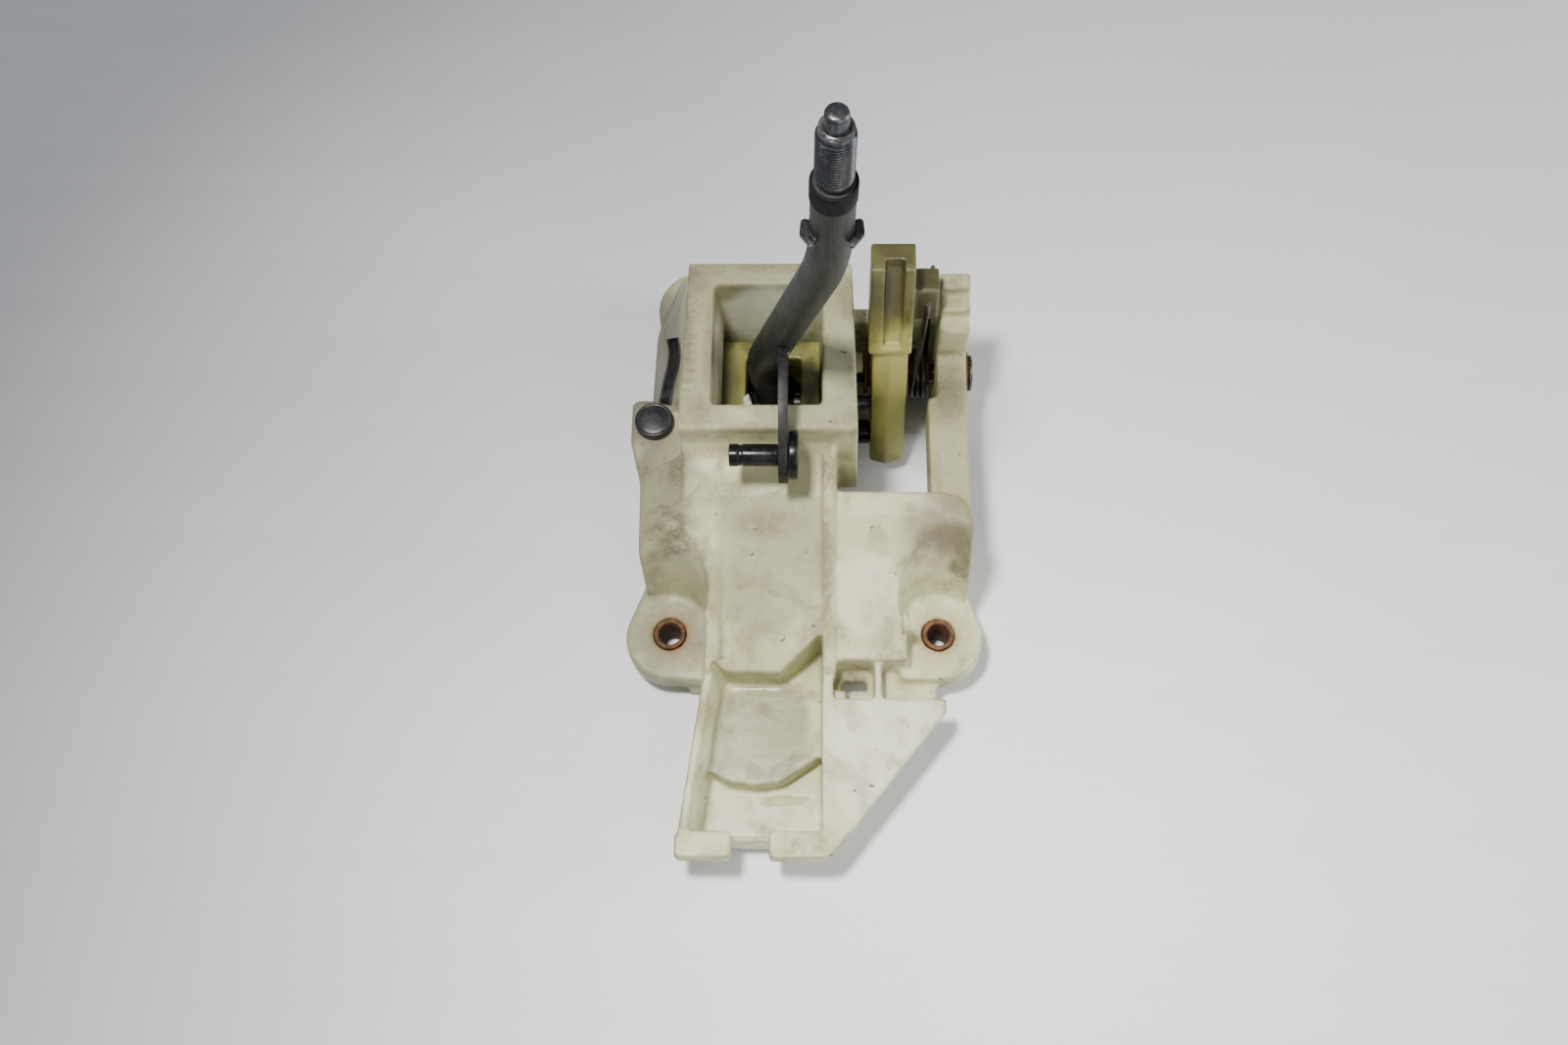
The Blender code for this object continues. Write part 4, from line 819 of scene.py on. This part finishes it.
def make_ring_and_clip(rubber, dark):
    low = LEVER_TOP - ALONG_TOP * RING_BELOW_TOP
    profile = [(0.0, RING_BORE_RADIUS), (0.0, RING_RADIUS)]
    profile += [(RING_LENGTH, RING_RADIUS), (RING_LENGTH, RING_BORE_RADIUS)]
    ring = turned("rubber_ring", rounded(profile, 0.7, 4), low, LEVER_TOP)
    dress(ring, rubber, "lever", "black_rubber", "lever_ring")
    dress(bevelled("spring_clip", NODES["boot_clip"], 0.3), dark, "lever", "black_oxide_steel", "boot_clip")


def make_hub(steel, bright):
    """The hub in the yoke, and the ball finger that reaches out to the crank."""
    hub = rounded([(0, 0), (0, HUB_RADIUS), (HUB_LENGTH, HUB_RADIUS), (HUB_LENGTH, 0)], 1.0, 4)
    start = PIVOT - Vector((0, HUB_LENGTH / 2, 0))
    dress(turned("lever_hub", hub, start, PIVOT), steel, "lever", "lever_steel")
    reach = BALL_X - PIVOT.x
    finger = [(0, 0), (0, FINGER_RADIUS), (reach - 8.0, FINGER_RADIUS), (reach - 3.0, FINGER_NECK_RADIUS)]
    for angle in np.linspace(2.2, 0.12, 12):
        finger.append((reach + BALL_RADIUS * math.cos(angle), BALL_RADIUS * math.sin(angle)))
    finger += [(reach + BALL_RADIUS, 0)]
    item = turned("lever_finger", finger, PIVOT, PIVOT + Vector((1, 0, 0)), 40)
    dress(item, bright, "lever", "lever_steel")


def make_arm(plate, dark):
    arm = bevelled("shift_arm_plate", NODES["shift_arm"], 0.45, 3)
    dress(arm, plate, "lever", "plate_steel", "shift_arm")
    tip, radius, length = SHIFT_PIN_TIP, SHIFT_PIN_RADIUS, SHIFT_PIN_LENGTH
    tail_end = length + SHIFT_TAIL_LENGTH
    groove = radius - 0.3
    profile = [(0, 0), (0, radius), (3.2, radius), (3.5, groove), (4.8, groove), (5.1, radius)]
    profile += [(length, radius), (length, SHIFT_TAIL_RADIUS), (tail_end, SHIFT_TAIL_RADIUS), (tail_end, 0)]
    pin = turned("shift_pin", rounded(profile, 0.5, 4), tip, (0, tip.y, tip.z))
    dress(pin, dark, "lever", "black_oxide_steel", "shift_cable_pin")
    box_low, box_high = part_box("shift_pin_disc")
    wide = (box_high.x - box_low.x) / MM
    profile = [(0.0, DISC_BORE_RADIUS), (0.0, DISC_RADIUS), (wide, DISC_RADIUS), (wide, DISC_BORE_RADIUS)]
    left = Vector((box_low.x / MM, tip.y, tip.z))
    item = turned("pin_disc", rounded(profile, 0.8, 4), left, left + Vector((1, 0, 0)))
    dress(item, dark, "lever", "black_oxide_steel", "shift_pin_disc")


def make_weld(bright):
    """The weld bead between the arm's plate and the bar."""
    places = []
    radii = []
    leaning = (UPPER_BEND - LOWER_BEND).normalized()
    for i in range(WELD_STEPS + 1):
        t = i / WELD_STEPS
        centre = LOWER_BEND + leaning * (WELD_START + WELD_LENGTH * t)
        places.append(centre + Vector((1.6, -6.7, -1.2)) + Vector((0.25 * math.sin(i * 1.9), 0, 0)))
        radii.append(1.15 + 0.28 * math.sin(i * 1.35) + 0.14 * math.sin(i * 3.7 + 1.0))
    radii[0] = radii[-1] = 0.3
    dress(swept("weld_bead", places, radii, 14, 60.0), bright, "lever", "plate_steel")


def make_crank(look, dark):
    voxel = 0.5
    item = moulded("crank_moulding", NODES["bell_crank"], voxel, 7, None, 0.6)
    dress(item, look, "crank", "green_nylon", "bell_crank")
    tip, radius, length = SELECT_PIN_TIP, SELECT_PIN_RADIUS, SELECT_PIN_LENGTH
    tail_end = length + SELECT_TAIL_LENGTH
    groove = radius - 0.8
    profile = [(0, 0), (0, radius), (3.2, radius), (3.6, groove), (4.6, groove), (5.0, radius)]
    profile += [(length, radius), (length, SELECT_TAIL_RADIUS), (tail_end, SELECT_TAIL_RADIUS), (tail_end, 0)]
    pin = turned("select_pin", rounded(profile, 0.6, 4), tip, (50, tip.y, tip.z))
    dress(pin, dark, "crank", "black_oxide_steel", "select_cable_pin")


def make_yoke(look):
    item = moulded("yoke_moulding", NODES["trunnion_yoke"], 0.6, 6, None, 0.5)
    dress(item, look, "yoke", "green_nylon", "trunnion_yoke")


def make_spring(look):
    """The coil and its legs in one fixed piece; each leg leans back by a set angle."""
    wire = WIRE_RADIUS
    first, last = COIL_LEFT_X + wire, COIL_RIGHT_X - wire
    lean = math.radians(LEG_LEAN_DEGREES)
    up = Vector((0, math.sin(lean), math.cos(lean)))
    back = Vector((0, math.cos(lean), -math.sin(lean)))
    centre = Vector((0, CRANK_Y, CRANK_Z))
    coil = []
    for i in range(COIL_STEPS + 1):
        angle = 2 * math.pi * COIL_TURNS * i / COIL_STEPS
        offset = (-back * math.cos(angle) - up * math.sin(angle)) * COIL_RADIUS
        coil.append(centre + offset + Vector((first + (last - first) * i / COIL_STEPS, 0, 0)))
    outward = up * LEG_LENGTH + Vector((FRONT_LEG_SHIFT, 0, 0))
    front = [coil[0] + outward * k / LEG_STEPS for k in range(LEG_STEPS, 0, -1)]
    rear = [coil[-1] + up * LEG_LENGTH * k / LEG_STEPS for k in range(1, LEG_STEPS + 1)]
    path = front + coil + rear
    radii = np.full(len(path), wire)
    radii[0] = radii[-1] = wire * 0.75
    item = swept("torsion_spring", path, radii, 16, 50.0)
    item.data.materials.append(look)
    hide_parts("centring_spring")
    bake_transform(item)


def make_tie_button(look):
    profile = [(0, 0), (0, 7.0), (0.7, 7.7), (2.2, 7.8), (3.0, 7.5), (3.4, 6.9), (3.2, 6.3), (3.5, 5.1)]
    profile += [(3.8, 2.6), (3.9, 0)]
    above = BUTTON_SEAT + Vector((0, 0, 4))
    button = turned("tie_button", rounded(profile, 0.35, 3), BUTTON_SEAT, above, 56)
    dress(button, look, "base", "black_nylon", "cable_tie_button")


def make_tie_strap(look):
    """The tie's free end: a strap with a toothed channel along its top."""
    route = [(-56.0, 49.7, 49.2), (-54.9, 54.4, 51.0), (-54.1, 58.1, 52.8), (-52.5, 63.1, 55.5)]
    route += [(-51.8, 67.5, 58.0), (-52.2, 70.2, 59.5), (-52.7, 72.5, 61.0)]
    curve = np.array(route, float)
    for _ in range(4):
        finer = [curve[0]]
        for a, b in zip(curve, curve[1:]):
            finer += [a * 0.75 + b * 0.25, a * 0.25 + b * 0.75]
        curve = np.array(finer + [curve[-1]])
    points, along, _, _ = path_frames(curve)
    across = np.tile((1.0, 0.0, 0.0), (len(points), 1))
    across -= along * (across * along).sum(1)[:, None]
    across /= np.linalg.norm(across, axis=1)[:, None]
    normal = np.cross(across, along)
    normal *= np.sign(normal[:, 2])[:, None]
    half = STRAP_HALF_WIDTH
    corners = [(-half, -0.55), (half, -0.55), (half, 0.45), (1.8, 0.6), (1.3, 0.3)]
    corners += [(-1.3, 0.3), (-1.8, 0.6), (-half, 0.45)]
    rings = []
    for i in range(len(points)):
        tooth = STRAP_TOOTH if i % 2 else 0.0
        ring = []
        for a, b in corners:
            lift = tooth if abs(a) < 1.5 and b > 0 else 0.0
            ring.append(points[i] + across[i] * a + normal[i] * (b + lift))
        rings.append(ring)
    dress(skinned("tie_strap", np.array(rings), 30.0), look, "base", "black_nylon", "cable_tie_strap")


def make_small_steel(steel, dark, rust, nylon):
    rows = (
        ("crank_bolt", "shaft_bolt", dark, "base", "black_oxide_steel", 0.35),
        ("bolt_washer", "shaft_washer", rust, "base", "rusty_steel", 0.25),
        ("left_thrust_washer", "thrust_washer", rust, "base", "rusty_steel", 0.2),
        ("crank_sleeve", "shaft_sleeve", rust, "base", "plate_steel", 0.2),
        ("left_pivot_pin", "pivot_pin", steel, "base", "plate_steel", 0.25),
        ("right_pivot_sleeve", "pivot_sleeve", nylon, "base", "natural_nylon", 0.4),
        ("hub_cross_pin", "cross_pin", steel, "yoke", "lever_steel", 0.25),
        ("front_hub_bush", "hub_bush_front", nylon, "lever", "natural_nylon", 0.15),
        ("rear_hub_bush", "hub_bush_rear", nylon, "lever", "natural_nylon", 0.15),
    )
    for node, name, look, body, slot, width in rows:
        dress(bevelled(name, NODES[node], width), look, body, slot, node)


def make_grease(look):
    """A smear of old grease on the block beside the lever."""
    shape = bmesh.new()
    bmesh.ops.create_icosphere(shape, subdivisions=5, radius=1.0)
    for vert in shape.verts:
        x, y, z = vert.co
        swell = 0.22 * math.sin(3.1 * x + 1.7 * y) * math.cos(2.3 * y - 1.1)
        ripple = 0.12 * math.sin(7.0 * x + 5.0 * y + 3.0 * z)
        vert.co = vert.co * GREASE_HALF * (1 + swell + ripple)
    shape.transform(Matrix.Translation(GREASE_CENTRE))
    shape.transform(Matrix.Scale(MM, 4))
    mesh = bpy.data.meshes.new("grease_smear")
    shape.to_mesh(mesh)
    shape.free()
    mesh.shade_smooth()
    dress(link("grease_smear", mesh), look, "yoke", "natural_nylon")


# ---------------------------------------------------------------- stage


def make_floor():
    shape = bmesh.new()
    bmesh.ops.create_grid(shape, x_segments=8, y_segments=8, size=FLOOR_HALF_METRES)
    mesh = bpy.data.meshes.new("table_top")
    shape.to_mesh(mesh)
    shape.free()
    floor = link("table_top", mesh)
    floor.data.materials.append(floor_look())


def area_light(name, place, target, power, size, colour, spread=180.0):
    data = bpy.data.lights.new(name, "AREA")
    data.energy = power
    data.size = size
    data.spread = math.radians(spread)
    data.color = colour
    item = bpy.data.objects.new(name, data)
    item.location = place
    item.rotation_euler = (Vector(target) - Vector(place)).to_track_quat("-Z", "Y").to_euler()
    bpy.context.scene.collection.objects.link(item)


def make_stage():
    make_floor()
    area_light("key", (-0.136, -0.06, 0.82), (0.12, -0.13, 0.0), 2.10, 0.09, (1.0, 0.99, 0.96), 75.0)
    area_light("right_fill", (1.1, 0.02, 0.40), (0.0, 0.0, 0.05), 10.5, 0.55, (0.97, 0.985, 1.0))
    area_light("front_fill", (0.30, -0.60, 0.50), (0.03, -0.10, 0.0), 2.2, 0.40, (1.0, 0.99, 0.97))
    world = bpy.data.worlds.new("studio")
    world.use_nodes = True
    backdrop = world.node_tree.nodes["Background"]
    backdrop.inputs["Color"].default_value = (0.86, 0.91, 1.0, 1.0)
    backdrop.inputs["Strength"].default_value = 0.34
    bpy.context.scene.world = world


def make_camera():
    data = bpy.data.cameras.new("camera")
    data.lens = 36.0
    data.sensor_width = 36.0
    camera = bpy.data.objects.new("camera", data)
    camera.location = (0.0077, -0.2318, 0.6109)
    camera.rotation_euler = (math.radians(22.263), math.radians(1.292), math.radians(0.648))
    bpy.context.scene.collection.objects.link(camera)
    bpy.context.scene.camera = camera


def main():
    lever_steel = steel_look(
        "lever_steel_look", (0.012, 0.013, 0.012), (0.030, 0.031, 0.029), (0.42, 0.55), 0.12, 0.08,
        BAR_GRAIN, 0.06, 0.20
    )
    stud_steel = steel_look(
        "stud_steel_look", (0.022, 0.024, 0.028), (0.070, 0.074, 0.084), (0.22, 0.38), 0.85, 0.35
    )
    plate_steel = steel_look(
        "plate_steel_look", (0.005, 0.005, 0.005), (0.014, 0.0135, 0.013), (0.34, 0.50), 0.2, 0.10,
        dust=0.04, specular=0.15
    )
    black_oxide = steel_look(
        "black_oxide_look", (0.005, 0.005, 0.006), (0.014, 0.013, 0.014), (0.16, 0.32), 0.5, 0.30, dust=0.12
    )
    spring_look = steel_look(
        "spring_look", (0.010, 0.009, 0.009), (0.045, 0.040, 0.035), (0.22, 0.42), 0.8, 0.4
    )
    make_housing(housing_look())
    make_bushings(rust_look("limiter_rust"))
    ring_rubber = black_look("ring_rubber", BLACK_RUBBER, (0.60, 0.80), 0.03, specular=0.15)
    make_bar(lever_steel)
    make_stud(stud_steel)
    make_ring_and_clip(ring_rubber, black_oxide)
    make_hub(lever_steel, stud_steel)
    make_arm(plate_steel, black_oxide)
    make_weld(stud_steel)
    make_crank(green_look("crank_nylon", 24.0, CRANK_DIRT_AND_SHADE, CRANK_TINTS), black_oxide)
    make_yoke(green_look("yoke_nylon", 18.0, YOKE_DIRT_AND_SHADE, YOKE_TINTS))
    make_spring(spring_look)
    tie_nylon = black_look("tie_nylon")
    make_tie_button(tie_nylon)
    make_tie_strap(tie_nylon)
    make_small_steel(plate_steel, black_oxide, rust_look("washer_rust", 0.75), green_look("bush_nylon", 12.0))
    make_grease(grease_look())
    make_stage()
    make_camera()


main()
